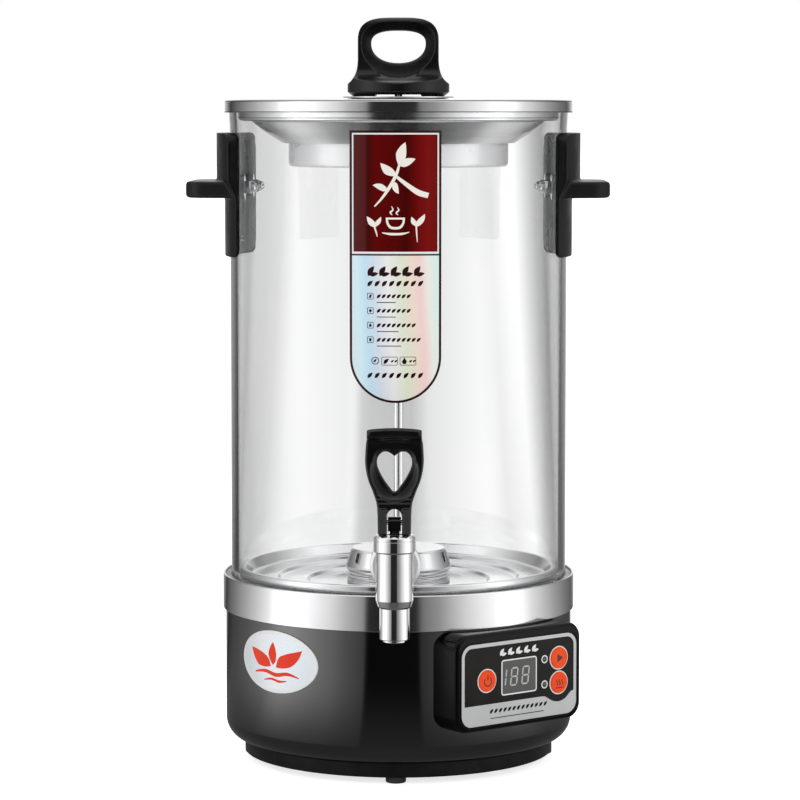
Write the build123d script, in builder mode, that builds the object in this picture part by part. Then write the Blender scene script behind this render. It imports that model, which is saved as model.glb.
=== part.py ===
from build123d import *
from math import cos, pi, radians, sin, sqrt
import os

os.makedirs("parts", exist_ok=True)

# A glass tea brewer on a round heated base: millimetres, +Z up, the tap towards -Y.
# The origin is on the floor, under the middle of the barrel.

# Glass barrel
glass_radius = 110.0
glass_wall = 4.5
glass_height = 320.2
rim_flare = 0.9
rim_flare_height = 16.0

# Base, from the floor up
foot_radius = 6.5
foot_height = 4.0
foot_count = 4
foot_start_angle = -90.0
foot_peg_radius = 3.0
foot_barb = 0.9
foot_barb_taper = 22.5
tray_height = 9.0
tray_inset = 12.3
tray_wall = 2.5
housing_height = 86.1
housing_wall = 3.0
housing_corner = 13.0
housing_lip = 6.0
housing_tuck = 7.3

# Steel band, seal and pan that carry the glass
band_wall = 1.5
band_fit = 0.3
band_height = 22.9
band_ledge = 0.8
seal_gap = 4.1
seal_bed = 2.0
seal_below_band = 1.0
pan_gap = 1.5
pan_sheet = 1.0
pan_rim_height = 19.8
pan_rim_width = 3.0
pan_cove = 4.0
pan_depth = 7.5
pan_ring_outer = 77.6
pan_ring_inner = 58.3
pan_step = 2.2

# Posts and screws that clamp the base together
post_inset = 11.0
post_radius = 4.0
post_count = 4
post_start_angle = 45.0
screw_radius = 1.5
screw_head_radius = 3.2
screw_grip = 10.0
countersink_angle = 82.0
vent_count = 8
vent_width = 3.0
vent_length = 22.0
vent_circle = 116.0

# Heater and its controls under the pan
heater_plate_radius = 56.0
heater_plate_thickness = 6.0
element_circle = 80.0
element_width = 8.0
element_height = 7.0
element_arc = 300.0
element_end_angle = 4.0
terminal_radius = 2.0
terminal_length = 14.0
switch_radius = 8.0
switch_height = 7.0
switch_flange = 1.5
switch_offset = 18.0
probe_radius = 3.0
probe_length = 12.0

# Power board in the tray
board_length = 110.0
board_width = 70.0
board_thickness = 1.6
board_corner = 4.0
standoff_radius = 3.0
standoff_height = 8.0
standoff_inset = 5.0
transformer_length = 40.0
transformer_width = 34.0
transformer_height = 26.0
relay_length = 20.0
relay_width = 15.0
relay_height = 16.0

# Power inlet at the back
inlet_rise = 32.0
inlet_pad_width = 60.0
inlet_pad_height = 34.0
inlet_pad_proud = 0.6
inlet_flange_width = 50.0
inlet_flange_height = 24.0
inlet_flange_thickness = 2.4
inlet_flange_corner = 4.0
inlet_body_width = 27.0
inlet_body_height = 20.0
inlet_depth = 20.0
inlet_mouth_width = 24.4
inlet_mouth_height = 16.4
inlet_mouth_depth = 16.0
inlet_screw_pitch = 40.0
inlet_pin_pitch = 14.0
inlet_pin_width = 2.0
inlet_pin_height = 4.0
inlet_pin_length = 13.0
inlet_earth_drop = 4.0

# Percolating bell and riser tube
bell_top_radius = 31.4
bell_wide_radius = 34.8
bell_neck_radius = 34.0
bell_neck_height = 10.0
bell_cone_height = 12.5
bell_wall = 1.5
bell_hub_radius = 5.0
bell_hub_height = 3.0
bell_slot_count = 6
bell_slot_start = 30.0
bell_slot_width = 3.5
bell_slot_height = 6.0
bell_slot_drop = 4.5
tube_radius = 3.25
tube_wall = 0.85
tube_end_rise = 3.0

# Tea basket, screen and spreader plate
basket_sheet = 0.8
basket_flange_fit = 0.1
basket_gap = 1.1
basket_lip_depth = 11.6
basket_step_width = 8.1
bowl_width = 20.8
bowl_depth = 14.6
bowl_crown_width = 9.6
bowl_crown_depth = 7.5
cup_ledge = 3.8
cup_depth = 15.2
cup_corner = 3.0
cup_floor_width = 13.7
cup_flange_width = 2.9
cup_play = 0.3
hole_radius = 2.0
hole_pitch = 16.0
hole_margin = 6.0
hole_rings = 3
sleeve_wall = 1.25
sleeve_height = 8.0
tube_play = 0.5
spreader_thickness = 1.0
spreader_overlap = 1.5

# Lid and its knob
lid_sheet = 1.0
lid_play = 1.4
lid_skirt = 8.2
lid_corner = 2.0
lid_flat_width = 9.3
lid_rise = 1.6
lid_seat_radius = 38.0
knob_plate_radius = 36.5
knob_plate_thickness = 0.6
knob_height = 51.1
knob_base_radius = 33.2
knob_foot_inset = 3.7
knob_foot_height = 3.0
knob_base_height = 8.3
knob_loop_half_width = 26.2
knob_flare_height = 25.0
knob_loop_thickness = 22.0
knob_loop_corner = 14.4
knob_loop_flat = 4.0
knob_loop_waist = 20.0
knob_loop_crown = 6.0
knob_loop_ridge = 5.0
knob_flare_tangents = ((-1, 0.5), (0, 1))
knob_crown_tangents = ((0, 1), (-1, 0))
knob_crown_pull = (1.4, 1.4)
knob_hole_width = 35.4
knob_hole_height = 20.8
knob_hole_drop = 8.5
knob_hole_upper_corner = 7.5
knob_hole_lower_corner = 12.0
knob_hole_flare = 20.0
knob_arch_width = 30.0
knob_arch_height = 1.4
knob_screw_radius = 2.5
knob_screw_head_radius = 5.0
knob_screw_head_height = 3.0
knob_screw_length = 14.0

# Side handles
handle_below_top = 19.4
handle_height = 80.0
handle_half_angle = 24.3
handle_upper_thickness = 8.7
handle_lower_thickness = 3.4
gasket_thickness = 0.8
grip_drop = 31.0
grip_thickness = 10.8
grip_reach = 27.0
grip_root_width = 92.0
grip_tip_width = 74.0
grip_corner = 14.0
grip_edge = 2.5
gasket_inset = 3.0
handle_corner = 9.0
stud_spacing = 50.0
stud_radius = 2.5
stud_sleeve = 1.0
stud_drop = 35.0
stud_reach = 15.0
stud_washer_radius = 7.5
stud_washer_thickness = 2.2
nut_flats = 8.0
nut_height = 4.5
nut_dome_radius = 3.7

# Tap
tap_reach = 30.0
tap_above_glass_foot = 32.1
tap_body_radius = 11.7
tap_bore_radius = 9.0
tap_body_above = 12.1
tap_taper_below = 17.3
tap_spout_below = 22.6
spout_radius = 9.35
spout_length = 19.8
seat_radius = 6.0
seat_rise = 1.0
nozzle_radius = 7.4
nozzle_proud = 1.6
nozzle_length = 14.7
neck_radius = 10.5
neck_height = 6.6
bonnet_radius = 13.0
bonnet_height = 10.8
bonnet_bevel = 1.2
shank_radius = 8.0
shank_bore_radius = 5.0
shank_shoulder_radius = 10.0
shank_thread = 14.0
tap_hole_fit = 0.3
escutcheon_radius = 16.0
escutcheon_thickness = 4.0
outer_seal_thickness = 1.5
inner_seal_radius = 13.0
inner_seal_thickness = 4.0
lock_nut_flats = 22.0
lock_nut_thickness = 6.0
gland_radius = 5.0
stem_radius = 2.9
stem_play = 0.08
stem_collar_radius = 6.6
stem_collar_height = 1.0
plug_radius = 7.8
plug_height = 7.0
plug_socket = 5.0
spring_radius = 5.6
spring_wire_radius = 0.6
spring_turns = 5

# Lever on the tap
pin_rise = 7.5
pin_radius = 1.6
pin_play = 0.06
lever_gap = 0.3
lever_leg_width = 20.5
lever_neck_width = 21.7
lever_neck_rise = 18.8
lever_wide_width = 36.0
lever_wide_rise = 43.8
lever_top_width = 33.3
lever_top_rise = 66.8
lever_heel_depth = 16.0
lever_heel_corner = 2.0
lever_heel_rise = 12.0
lever_blade_thickness = 9.0
lever_lip_depth = 6.0
lever_lip_height = 9.0
lever_flank_tangents = ((0.3, 1), (-0.2, 1))
lever_slot_width = 8.4
lever_slot_rise = 16.5
heart_width = 21.3
heart_height = 25.1
heart_rise = 26.3
heart_shoulder_share = 0.62
heart_notch_share = 0.9
heart_tangents = ((1, 0.9), (-0.9, -1))
stem_head_play = 0.2
stem_head_depth = 7.0
stem_head_drop = 5.0

# Control panel
panel_angle = 39.0
panel_proud = 10.7
panel_rise = 54.5
bezel_width = 103.0
bezel_height = 62.0
bezel_corner = 10.0
bezel_edge = 3.0
bezel_wall = 2.5
face_thickness = 3.0
overlay_width = 94.5
overlay_height = 52.0
overlay_drop = 1.35
overlay_corner = 8.0
overlay_thickness = 0.5
window_place = (-0.6, 1.35)
window_width = 29.2
window_height = 22.7
button_radius = 6.75
button_play = 0.08
button_proud = 1.0
button_back_gap = 0.3
button_flange = 1.0
button_flange_thickness = 1.2
button_post_radius = 3.0
button_post_length = 1.5
button_travel = 0.8
button_edge = 0.5
power_place = (-27.0, 0.9)
start_place = (32.3, 9.3)
warm_place = (32.3, -6.6)
lamp_radius = 1.5
lamp_proud = 0.3
lamp_fit = 0.1
lamp_flange = 0.4
lamp_flange_height = 1.2
lamp_places = ((20.5, 9.6), (20.5, -6.6))
panel_board_width = 88.0
panel_board_height = 46.0
panel_board_thickness = 1.6
board_play = 1.0
tact_size = 6.0
tact_height = 3.0
tact_plunger_radius = 1.7
tact_plunger_rise = 0.5
tact_slack = 0.1
boss_radius = 3.0
boss_inset = 4.0
panel_screw_radius = 1.2
panel_screw_head_radius = 2.4
panel_screw_head_height = 1.6
panel_screw_grip = 6.0

# Label on the glass and badge on the housing
label_width = 57.0
label_below_top = 17.4
label_height = 169.2
label_thickness = 0.3
badge_angle = -42.3
badge_width = 67.0
badge_height = 40.0
badge_rise = 62.0
badge_thickness = 1.0

# Directions that the sides face, in degrees from the front
front = 0.0
right = 90.0
left = -90.0
back = 180.0
sides = (right, left)

# Radii and heights that follow from the sizes above
glass_inner = glass_radius - glass_wall
band_inner = glass_radius + seal_gap
band_radius = band_inner + band_wall
housing_radius = band_inner - band_fit
tray_radius = housing_radius - tray_inset
tray_inner = tray_radius - tray_wall
foot_circle = 2 * (tray_radius - foot_radius)
post_circle = 2 * (tray_inner - post_inset)
panel_distance = housing_radius + panel_proud
pan_radius = glass_inner - pan_gap
lid_inner = glass_radius + rim_flare + lid_play
lid_radius = lid_inner + lid_sheet

tray_z = foot_height
tray_floor_z = tray_z + tray_wall
housing_z = tray_z + tray_height
band_z = housing_z + housing_height
ledge_z = band_z + housing_tuck
channel_z = ledge_z + band_ledge
glass_z = channel_z + seal_bed
glass_top_z = glass_z + glass_height
flange_z = glass_top_z + basket_sheet
lid_rim_z = flange_z + lid_sheet
seat_z = lid_rim_z + lid_rise
knob_z = seat_z + knob_plate_thickness
pan_rim_z = channel_z + pan_rim_height
pan_floor_z = pan_rim_z - pan_depth
pan_ring_z = pan_floor_z - pan_step
pan_centre_z = pan_ring_z - pan_step


def spin(points, radii=0.0, centre=(0.0, 0.0), mode=Mode.ADD):
    """Turn a closed outline of (radius, height) corners about an upright line at centre."""
    plane = Plane(origin=(*centre, 0), x_dir=(1, 0, 0), z_dir=(0, -1, 0))
    with BuildSketch(plane) as outline:
        with BuildLine():
            FilletPolyline(*points, radius=radii, close=True)
        make_face()
    revolve(outline.sketch, axis=Axis(plane.origin, (0, 0, 1)), mode=mode)


def spin_sheet(points, radii, thickness):
    """Turn a pressed sheet about Z: it lies on the right of the path through points."""
    with BuildSketch(Plane.XZ) as section:
        with BuildLine():
            FilletPolyline(*points, radius=radii)
            offset(amount=thickness, side=Side.RIGHT)
        make_face()
    revolve(section.sketch, axis=Axis.Z)


def bar(plane, radius, length, place=(0, 0), mode=Mode.ADD):
    """A round bar that stands on plane, about the point place in it."""
    with BuildSketch(plane) as end:
        with Locations(place):
            Circle(radius)
    extrude(end.sketch, amount=length, mode=mode)


def block(plane, width, height, length, corner=0.0, place=(0, 0), mode=Mode.ADD):
    """A block that stands on plane about the point place, its long edges rounded by corner."""
    with BuildSketch(plane) as end:
        with Locations(place):
            if corner:
                RectangleRounded(width, height, corner)
            else:
                Rectangle(width, height)
    extrude(end.sketch, amount=length, mode=mode)


def facing(angle, distance=0.0, height=0.0):
    """The upright plane that looks outwards at angle from the front, distance from the middle."""
    turn = radians(angle)
    outward = Vector(sin(turn), -cos(turn), 0)
    origin = outward * distance + Vector(0, 0, height)
    return Plane(origin=origin, x_dir=(cos(turn), sin(turn), 0), z_dir=outward)


# Glass barrel: a flared tube with holes for the tap and the handle studs

tap_z = glass_z + tap_above_glass_foot
stud_z = glass_top_z - handle_below_top - stud_drop
stud_places = ((-stud_spacing / 2, 0), (stud_spacing / 2, 0))
tap_hole_radius = shank_radius + tap_hole_fit
stud_hole_radius = stud_radius + stud_sleeve
wall_reach = 3 * glass_wall

with BuildPart() as glass_cylinder:
    spin(
        [
            (glass_inner, glass_z),
            (glass_radius, glass_z),
            (glass_radius, glass_top_z - rim_flare_height),
            (glass_radius + rim_flare, glass_top_z),
            (glass_inner + rim_flare, glass_top_z),
            (glass_inner, glass_top_z - rim_flare_height),
        ]
    )
    with Locations(facing(front, glass_radius, tap_z)):
        Hole(tap_hole_radius, depth=wall_reach)
    for side in sides:
        with Locations(facing(side, glass_radius, stud_z)):
            with Locations(*stud_places):
                Hole(stud_hole_radius, depth=wall_reach)
glass_cylinder.part.label = "glass_cylinder"
export_step(glass_cylinder.part, "parts/glass_cylinder.step")

# Steel band: an outer wall with a ledge that the glass and the pan stand on

with BuildPart() as base_band:
    spin(
        [
            (pan_radius - pan_rim_width, ledge_z),
            (band_inner, ledge_z),
            (band_inner, band_z),
            (band_radius, band_z),
            (band_radius, band_z + band_height),
            (band_inner, band_z + band_height),
            (band_inner, channel_z),
            (pan_radius - pan_rim_width, channel_z),
        ]
    )
base_band.part.label = "base_band"
export_step(base_band.part, "parts/base_band.step")

# Silicone bed that fills the channel under and beside the glass

seal_top_z = band_z + band_height - seal_below_band

with BuildPart() as glass_seal:
    spin(
        [
            (pan_radius, channel_z),
            (band_inner, channel_z),
            (band_inner, seal_top_z),
            (glass_radius, seal_top_z),
            (glass_radius, glass_z),
            (glass_inner, glass_z),
            (glass_inner, seal_top_z),
            (pan_radius, seal_top_z),
        ]
    )
glass_seal.part.label = "glass_seal"
export_step(glass_seal.part, "parts/glass_seal.step")

# Brewing pan: one pressed sheet with a turned rim, two rings and a flat middle

with BuildPart() as brewing_pan:
    spin_sheet(
        [
            (0, pan_centre_z),
            (pan_ring_inner, pan_centre_z),
            (pan_ring_inner + pan_step, pan_ring_z),
            (pan_ring_outer, pan_ring_z),
            (pan_ring_outer + pan_step, pan_floor_z),
            (pan_radius - pan_rim_width - pan_cove, pan_floor_z),
            (pan_radius - pan_rim_width, pan_rim_z),
            (pan_radius, pan_rim_z),
            (pan_radius, channel_z),
        ],
        (0, 0, 0, 0, pan_cove / 2, pan_rim_width / 3, pan_rim_width / 3),
        pan_sheet,
    )
brewing_pan.part.label = "brewing_pan"
export_step(brewing_pan.part, "parts/brewing_pan.step")

# Gloss housing: a turned shell with the panel's window and the inlet's flat seat

panel_z = housing_z + panel_rise
inlet_z = housing_z + inlet_rise
pad_face = housing_radius + inlet_pad_proud
pad_depth = pad_face - sqrt((housing_radius - housing_wall) ** 2 - (inlet_pad_width / 2) ** 2)
opening_width = panel_board_width + 2 * board_play
opening_height = panel_board_height + 2 * board_play
opening_reach = panel_distance - sqrt((housing_radius - housing_wall) ** 2 - (opening_width / 2) ** 2)


def panel_plane(depth=0.0):
    """The plane that lies depth behind the control panel's face."""
    return facing(panel_angle, panel_distance - depth, panel_z)


def inlet_plane(depth=0.0):
    """The plane that lies depth inside the flat seat of the power inlet."""
    return facing(back, pad_face - depth, inlet_z)


with BuildPart() as base_housing:
    spin(
        [
            (tray_radius - housing_lip, housing_z),
            (housing_radius, housing_z),
            (housing_radius, ledge_z),
            (housing_radius - housing_wall, ledge_z),
            (housing_radius - housing_wall, housing_z + housing_wall),
            (tray_radius - housing_lip, housing_z + housing_wall),
        ],
        (0, housing_corner, 0, 0, housing_corner - housing_wall, 0),
    )
    block(inlet_plane(), inlet_pad_width, inlet_pad_height, -pad_depth)
    block(inlet_plane(), inlet_body_width, inlet_body_height, -pad_depth, mode=Mode.SUBTRACT)
    with Locations(inlet_plane()):
        with GridLocations(inlet_screw_pitch, 0, 2, 1):
            Hole(screw_radius, depth=screw_grip)
    block(panel_plane(), opening_width, opening_height, -opening_reach, mode=Mode.SUBTRACT)
base_housing.part.label = "base_housing"
export_step(base_housing.part, "parts/base_housing.step")

# Bottom tray: a shallow dish with vents, foot holes and countersunk screw holes

with BuildPart() as bottom_tray:
    spin(
        [
            (0, tray_z),
            (tray_radius, tray_z),
            (tray_radius, housing_z),
            (tray_inner, housing_z),
            (tray_inner, tray_floor_z),
            (0, tray_floor_z),
        ]
    )
    with BuildSketch(Plane.XY.offset(tray_z)):
        with PolarLocations(vent_circle / 2, vent_count):
            SlotOverall(vent_length, vent_width)
        with PolarLocations(foot_circle / 2, foot_count, start_angle=foot_start_angle):
            Circle(foot_peg_radius)
    extrude(amount=tray_wall, mode=Mode.SUBTRACT)
    with Locations(Plane(origin=(0, 0, tray_z), x_dir=(1, 0, 0), z_dir=(0, 0, -1))):
        with PolarLocations(post_circle / 2, post_count, start_angle=post_start_angle):
            CounterSinkHole(
                screw_radius, screw_head_radius, depth=tray_wall, counter_sink_angle=countersink_angle
            )
bottom_tray.part.label = "bottom_tray"
export_step(bottom_tray.part, "parts/bottom_tray.step")

# Rubber feet: round pads with a neck through the tray and a barb above it

with BuildPart() as rubber_feet:
    with BuildSketch(Plane.XY):
        with PolarLocations(foot_circle / 2, foot_count, start_angle=foot_start_angle):
            Circle(foot_radius)
    extrude(amount=foot_height)
    with BuildSketch(Plane.XY.offset(tray_z)):
        with PolarLocations(foot_circle / 2, foot_count, start_angle=foot_start_angle):
            Circle(foot_peg_radius)
    extrude(amount=tray_wall)
    with BuildSketch(Plane.XY.offset(tray_floor_z)):
        with PolarLocations(foot_circle / 2, foot_count, start_angle=foot_start_angle):
            Circle(foot_peg_radius + foot_barb)
    extrude(amount=foot_barb, taper=foot_barb_taper)
rubber_feet.part.label = "rubber_feet"
export_step(rubber_feet.part, "parts/rubber_feet.step")

# Posts from the pan down to the tray

post_top_z = pan_floor_z - pan_sheet

with BuildPart() as tie_posts:
    with BuildSketch(Plane.XY.offset(tray_floor_z)):
        with PolarLocations(post_circle / 2, post_count, start_angle=post_start_angle):
            Circle(post_radius)
    extrude(amount=post_top_z - tray_floor_z)
    with BuildSketch(Plane.XY.offset(tray_floor_z)):
        with PolarLocations(post_circle / 2, post_count, start_angle=post_start_angle):
            Circle(screw_radius)
    extrude(amount=screw_grip, mode=Mode.SUBTRACT)
tie_posts.part.label = "tie_posts"
export_step(tie_posts.part, "parts/tie_posts.step")

# Heating plate under the pan's middle, its ring element and the controls on it

heater_top_z = pan_centre_z - pan_sheet
heater_z = heater_top_z - heater_plate_thickness
element_z = heater_z - element_height
element_span = element_arc - 2 * element_end_angle

with BuildPart() as heating_plate:
    bar(Plane.XY.offset(heater_z), heater_plate_radius, heater_plate_thickness)
heating_plate.part.label = "heating_plate"
export_step(heating_plate.part, "parts/heating_plate.step")

with BuildPart() as heater_element:
    with BuildSketch(Plane.XZ):
        with Locations((element_circle / 2, element_z + element_height / 2)):
            element = Rectangle(element_width, element_height)
        fillet(element.vertices().group_by(Axis.Y)[0], element_width / 3)
    revolve(axis=Axis.Z, revolution_arc=element_arc)
    with BuildSketch(Plane.XY.offset(element_z + element_height / 2)):
        with PolarLocations(element_circle / 2, 2, element_end_angle, element_span, endpoint=True):
            Circle(terminal_radius)
    extrude(amount=-terminal_length)
heater_element.part.label = "heater_element"
export_step(heater_element.part, "parts/heater_element.step")

with BuildPart() as heater_switches:
    for x in (switch_offset, -switch_offset):
        bar(Plane.XY.offset(heater_z), switch_radius, -switch_height, (x, 0))
        bar(Plane.XY.offset(heater_z), switch_radius + switch_flange, -switch_flange, (x, 0))
heater_switches.part.label = "heater_switches"
export_step(heater_switches.part, "parts/heater_switches.step")

with BuildPart() as temperature_probe:
    bar(Plane.XY.offset(heater_z), probe_radius, -probe_length, (0, switch_offset))
    fillet(temperature_probe.edges().sort_by(Axis.Z)[0], probe_radius / 3)
temperature_probe.part.label = "temperature_probe"
export_step(temperature_probe.part, "parts/temperature_probe.step")

# Power board on standoffs in the tray, with its transformer and relay

board_z = tray_floor_z + standoff_height
parts_z = board_z + board_thickness

with BuildPart() as board_standoffs:
    with BuildSketch(Plane.XY.offset(tray_floor_z)):
        with GridLocations(board_length - 2 * standoff_inset, board_width - 2 * standoff_inset, 2, 2):
            Circle(standoff_radius)
    extrude(amount=standoff_height)
board_standoffs.part.label = "board_standoffs"
export_step(board_standoffs.part, "parts/board_standoffs.step")

with BuildPart() as power_board:
    block(Plane.XY.offset(board_z), board_length, board_width, board_thickness, board_corner)
power_board.part.label = "power_board"
export_step(power_board.part, "parts/power_board.step")

with BuildPart() as transformer:
    block(
        Plane.XY.offset(parts_z),
        transformer_length,
        transformer_width,
        transformer_height,
        place=(-board_length / 4, 0),
    )
transformer.part.label = "transformer"
export_step(transformer.part, "parts/transformer.step")

with BuildPart() as power_relay:
    block(
        Plane.XY.offset(parts_z),
        relay_length,
        relay_width,
        relay_height,
        place=(board_length / 4, 0),
    )
power_relay.part.label = "power_relay"
export_step(power_relay.part, "parts/power_relay.step")

# Power inlet: a flanged body with a deep mouth and three pins

with BuildPart() as power_inlet:
    block(inlet_plane(), inlet_flange_width, inlet_flange_height, inlet_flange_thickness, inlet_flange_corner)
    block(inlet_plane(), inlet_body_width, inlet_body_height, -inlet_depth)
    mouth = inlet_plane(-inlet_flange_thickness)
    block(mouth, inlet_mouth_width, inlet_mouth_height, -inlet_mouth_depth, mode=Mode.SUBTRACT)
    with Locations(mouth):
        with GridLocations(inlet_screw_pitch, 0, 2, 1):
            CounterSinkHole(
                screw_radius,
                screw_head_radius,
                depth=inlet_flange_thickness,
                counter_sink_angle=countersink_angle,
            )
power_inlet.part.label = "power_inlet"
export_step(power_inlet.part, "parts/power_inlet.step")

with BuildPart() as inlet_pins:
    with BuildSketch(inlet_plane(inlet_mouth_depth - inlet_flange_thickness)):
        with Locations(
            (-inlet_pin_pitch / 2, -inlet_earth_drop / 2),
            (inlet_pin_pitch / 2, -inlet_earth_drop / 2),
            (0, inlet_earth_drop / 2),
        ):
            Rectangle(inlet_pin_width, inlet_pin_height)
    extrude(amount=inlet_pin_length)
inlet_pins.part.label = "inlet_pins"
export_step(inlet_pins.part, "parts/inlet_pins.step")

# Six equal screws: four pull the tray up to the posts and two hold the inlet's flange


def flat_head_screws(head_plane, layout):
    """Screws whose flat heads are flush with head_plane and whose shanks run along it."""
    with BuildSketch(head_plane) as shanks:
        with layout:
            Circle(screw_radius)
    extrude(shanks.sketch, amount=tray_wall + screw_grip)
    with BuildSketch(head_plane) as heads:
        with layout:
            Circle(screw_head_radius)
    extrude(heads.sketch, amount=screw_head_radius - screw_radius, taper=countersink_angle / 2)


with BuildPart() as case_screws:
    flat_head_screws(
        Plane.XY.offset(tray_z), PolarLocations(post_circle / 2, post_count, start_angle=post_start_angle)
    )
    flat_head_screws(-inlet_plane(-inlet_flange_thickness), GridLocations(inlet_screw_pitch, 0, 2, 1))
case_screws.part.label = "case_screws"
export_step(case_screws.part, "parts/case_screws.step")

# Percolating bell on the pan and the riser tube that stands in it

bell_cone_z = pan_centre_z + bell_neck_height
bell_top_z = bell_cone_z + bell_cone_height

with BuildPart() as pump_bell:
    spin(
        [
            (bell_neck_radius - bell_wall, pan_centre_z),
            (bell_neck_radius, pan_centre_z),
            (bell_neck_radius, bell_cone_z),
            (bell_wide_radius, bell_cone_z),
            (bell_top_radius, bell_top_z),
            (bell_hub_radius, bell_top_z),
            (bell_hub_radius, bell_top_z + bell_hub_height),
            (tube_radius, bell_top_z + bell_hub_height),
            (tube_radius, bell_top_z - bell_wall),
            (bell_top_radius - bell_wall, bell_top_z - bell_wall),
            (bell_neck_radius - bell_wall, bell_cone_z),
        ]
    )
    for slot in range(bell_slot_count):
        slot_angle = bell_slot_start + slot * 360 / bell_slot_count
        slot_plane = facing(slot_angle, 0, bell_top_z - bell_slot_drop)
        block(slot_plane, bell_slot_width, bell_slot_height, bell_wide_radius, mode=Mode.SUBTRACT)
pump_bell.part.label = "pump_bell"
export_step(pump_bell.part, "parts/pump_bell.step")

# Tea basket: a drawn collar rests on the glass, and the cup's flange rests on the collar's ledge

lip_radius = glass_inner - basket_gap
step_z = glass_top_z - basket_lip_depth
step_radius = lip_radius - basket_step_width
ledge_radius = step_radius - bowl_width
basket_ledge_z = step_z - bowl_depth
cup_radius = ledge_radius - cup_ledge
cup_z = basket_ledge_z - cup_depth
cup_floor_z = cup_z + basket_sheet
cup_opening = cup_radius - cup_floor_width
basket_flange_radius = lid_radius - lid_corner - basket_flange_fit
cup_flange_z = basket_ledge_z + basket_sheet

with BuildPart() as basket_collar:
    spin_sheet(
        [
            (basket_flange_radius, glass_top_z),
            (lip_radius, glass_top_z),
            (lip_radius, step_z),
            (step_radius, step_z),
            (step_radius - bowl_crown_width, step_z - bowl_crown_depth),
            (ledge_radius, basket_ledge_z),
            (cup_radius + cup_play, basket_ledge_z),
        ],
        (0, 0, 0, bowl_crown_depth / 2, 0),
        basket_sheet,
    )
basket_collar.part.label = "basket_collar"
export_step(basket_collar.part, "parts/basket_collar.step")

with BuildPart() as tea_basket:
    spin_sheet(
        [
            (cup_radius + cup_flange_width, cup_flange_z),
            (cup_radius, cup_flange_z),
            (cup_radius, cup_z),
            (cup_opening, cup_z),
        ],
        (0, cup_corner),
        basket_sheet,
    )
tea_basket.part.label = "tea_basket"
export_step(tea_basket.part, "parts/tea_basket.step")


def holed_disc(base_z, radius, thickness):
    """A perforated disc with rings of holes, and a hole in its middle for the riser tube."""
    bar(Plane.XY.offset(base_z), radius, thickness)
    with BuildSketch(Plane.XY.offset(base_z)) as holes:
        Circle(tube_radius + tube_play)
        for ring in range(hole_rings):
            ring_radius = radius - hole_margin - ring * hole_pitch
            ring_count = int(2 * pi * ring_radius / hole_pitch)
            with PolarLocations(ring_radius, ring_count):
                Circle(hole_radius)
    extrude(holes.sketch, amount=thickness, mode=Mode.SUBTRACT)


screen_z = cup_floor_z
screen_radius = cup_radius - cup_corner - basket_sheet

with BuildPart() as basket_screen:
    holed_disc(screen_z, screen_radius, basket_sheet)
    sleeve_inner = tube_radius + tube_play
    sleeve_foot_z = screen_z + basket_sheet
    sleeve_top_z = sleeve_foot_z + sleeve_height
    spin(
        [
            (sleeve_inner, sleeve_foot_z),
            (sleeve_inner + sleeve_wall, sleeve_foot_z),
            (sleeve_inner + sleeve_wall, sleeve_top_z),
            (sleeve_inner, sleeve_top_z),
        ]
    )
basket_screen.part.label = "basket_screen"
export_step(basket_screen.part, "parts/basket_screen.step")

spreader_z = cup_flange_z + basket_sheet

with BuildPart() as spreader_plate:
    holed_disc(spreader_z, cup_radius + spreader_overlap, spreader_thickness)
spreader_plate.part.label = "spreader_plate"
export_step(spreader_plate.part, "parts/spreader_plate.step")

with BuildPart() as riser_tube:
    tube_foot_z = bell_top_z - bell_wall
    tube_top_z = spreader_z + spreader_thickness + tube_end_rise
    spin(
        [
            (tube_radius - tube_wall, tube_foot_z),
            (tube_radius, tube_foot_z),
            (tube_radius, tube_top_z),
            (tube_radius - tube_wall, tube_top_z),
        ]
    )
riser_tube.part.label = "riser_tube"
export_step(riser_tube.part, "parts/riser_tube.step")

# Lid: a pressed sheet with a skirt outside the glass and a flat seat for the knob

with BuildPart() as lid_shell:
    spin_sheet(
        [
            (knob_screw_radius, seat_z),
            (lid_seat_radius, seat_z),
            (lid_radius - lid_flat_width, lid_rim_z),
            (lid_radius, lid_rim_z),
            (lid_radius, lid_rim_z - lid_skirt),
        ],
        (0, 0, lid_corner),
        lid_sheet,
    )
lid_shell.part.label = "lid_shell"
export_step(lid_shell.part, "parts/lid_shell.step")

with BuildPart() as knob_plate:
    bar(Plane.XY.offset(seat_z), knob_plate_radius, knob_plate_thickness)
    bar(Plane.XY.offset(seat_z), knob_screw_radius, knob_plate_thickness, mode=Mode.SUBTRACT)
knob_plate.part.label = "knob_plate"
export_step(knob_plate.part, "parts/knob_plate.step")

# Lid knob: the front outline and the side outline of a grip loop on a round foot

knob_top_z = knob_z + knob_height
knob_rim_z = knob_z + knob_base_height
foot_half = knob_base_radius - knob_foot_inset
hole_top_z = knob_top_z - knob_hole_drop
hole_low_z = hole_top_z - knob_hole_height


def loop_outline(half_width, waist, corner, flat):
    """Half of the knob's outline: its foot, a hollow flare, a straight side and a domed top."""
    foot = Polyline(
        (0, knob_z),
        (foot_half, knob_z),
        (knob_base_radius, knob_z + knob_foot_height),
        (knob_base_radius, knob_rim_z),
    )
    flare = Spline(foot @ 1, (half_width, knob_z + waist), tangents=knob_flare_tangents)
    side = Line(flare @ 1, (half_width, knob_top_z - corner))
    top = (flat, knob_top_z)
    Spline(side @ 1, top, tangents=knob_crown_tangents, tangent_scalars=knob_crown_pull)
    Line(top, (0, knob_top_z))


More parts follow.
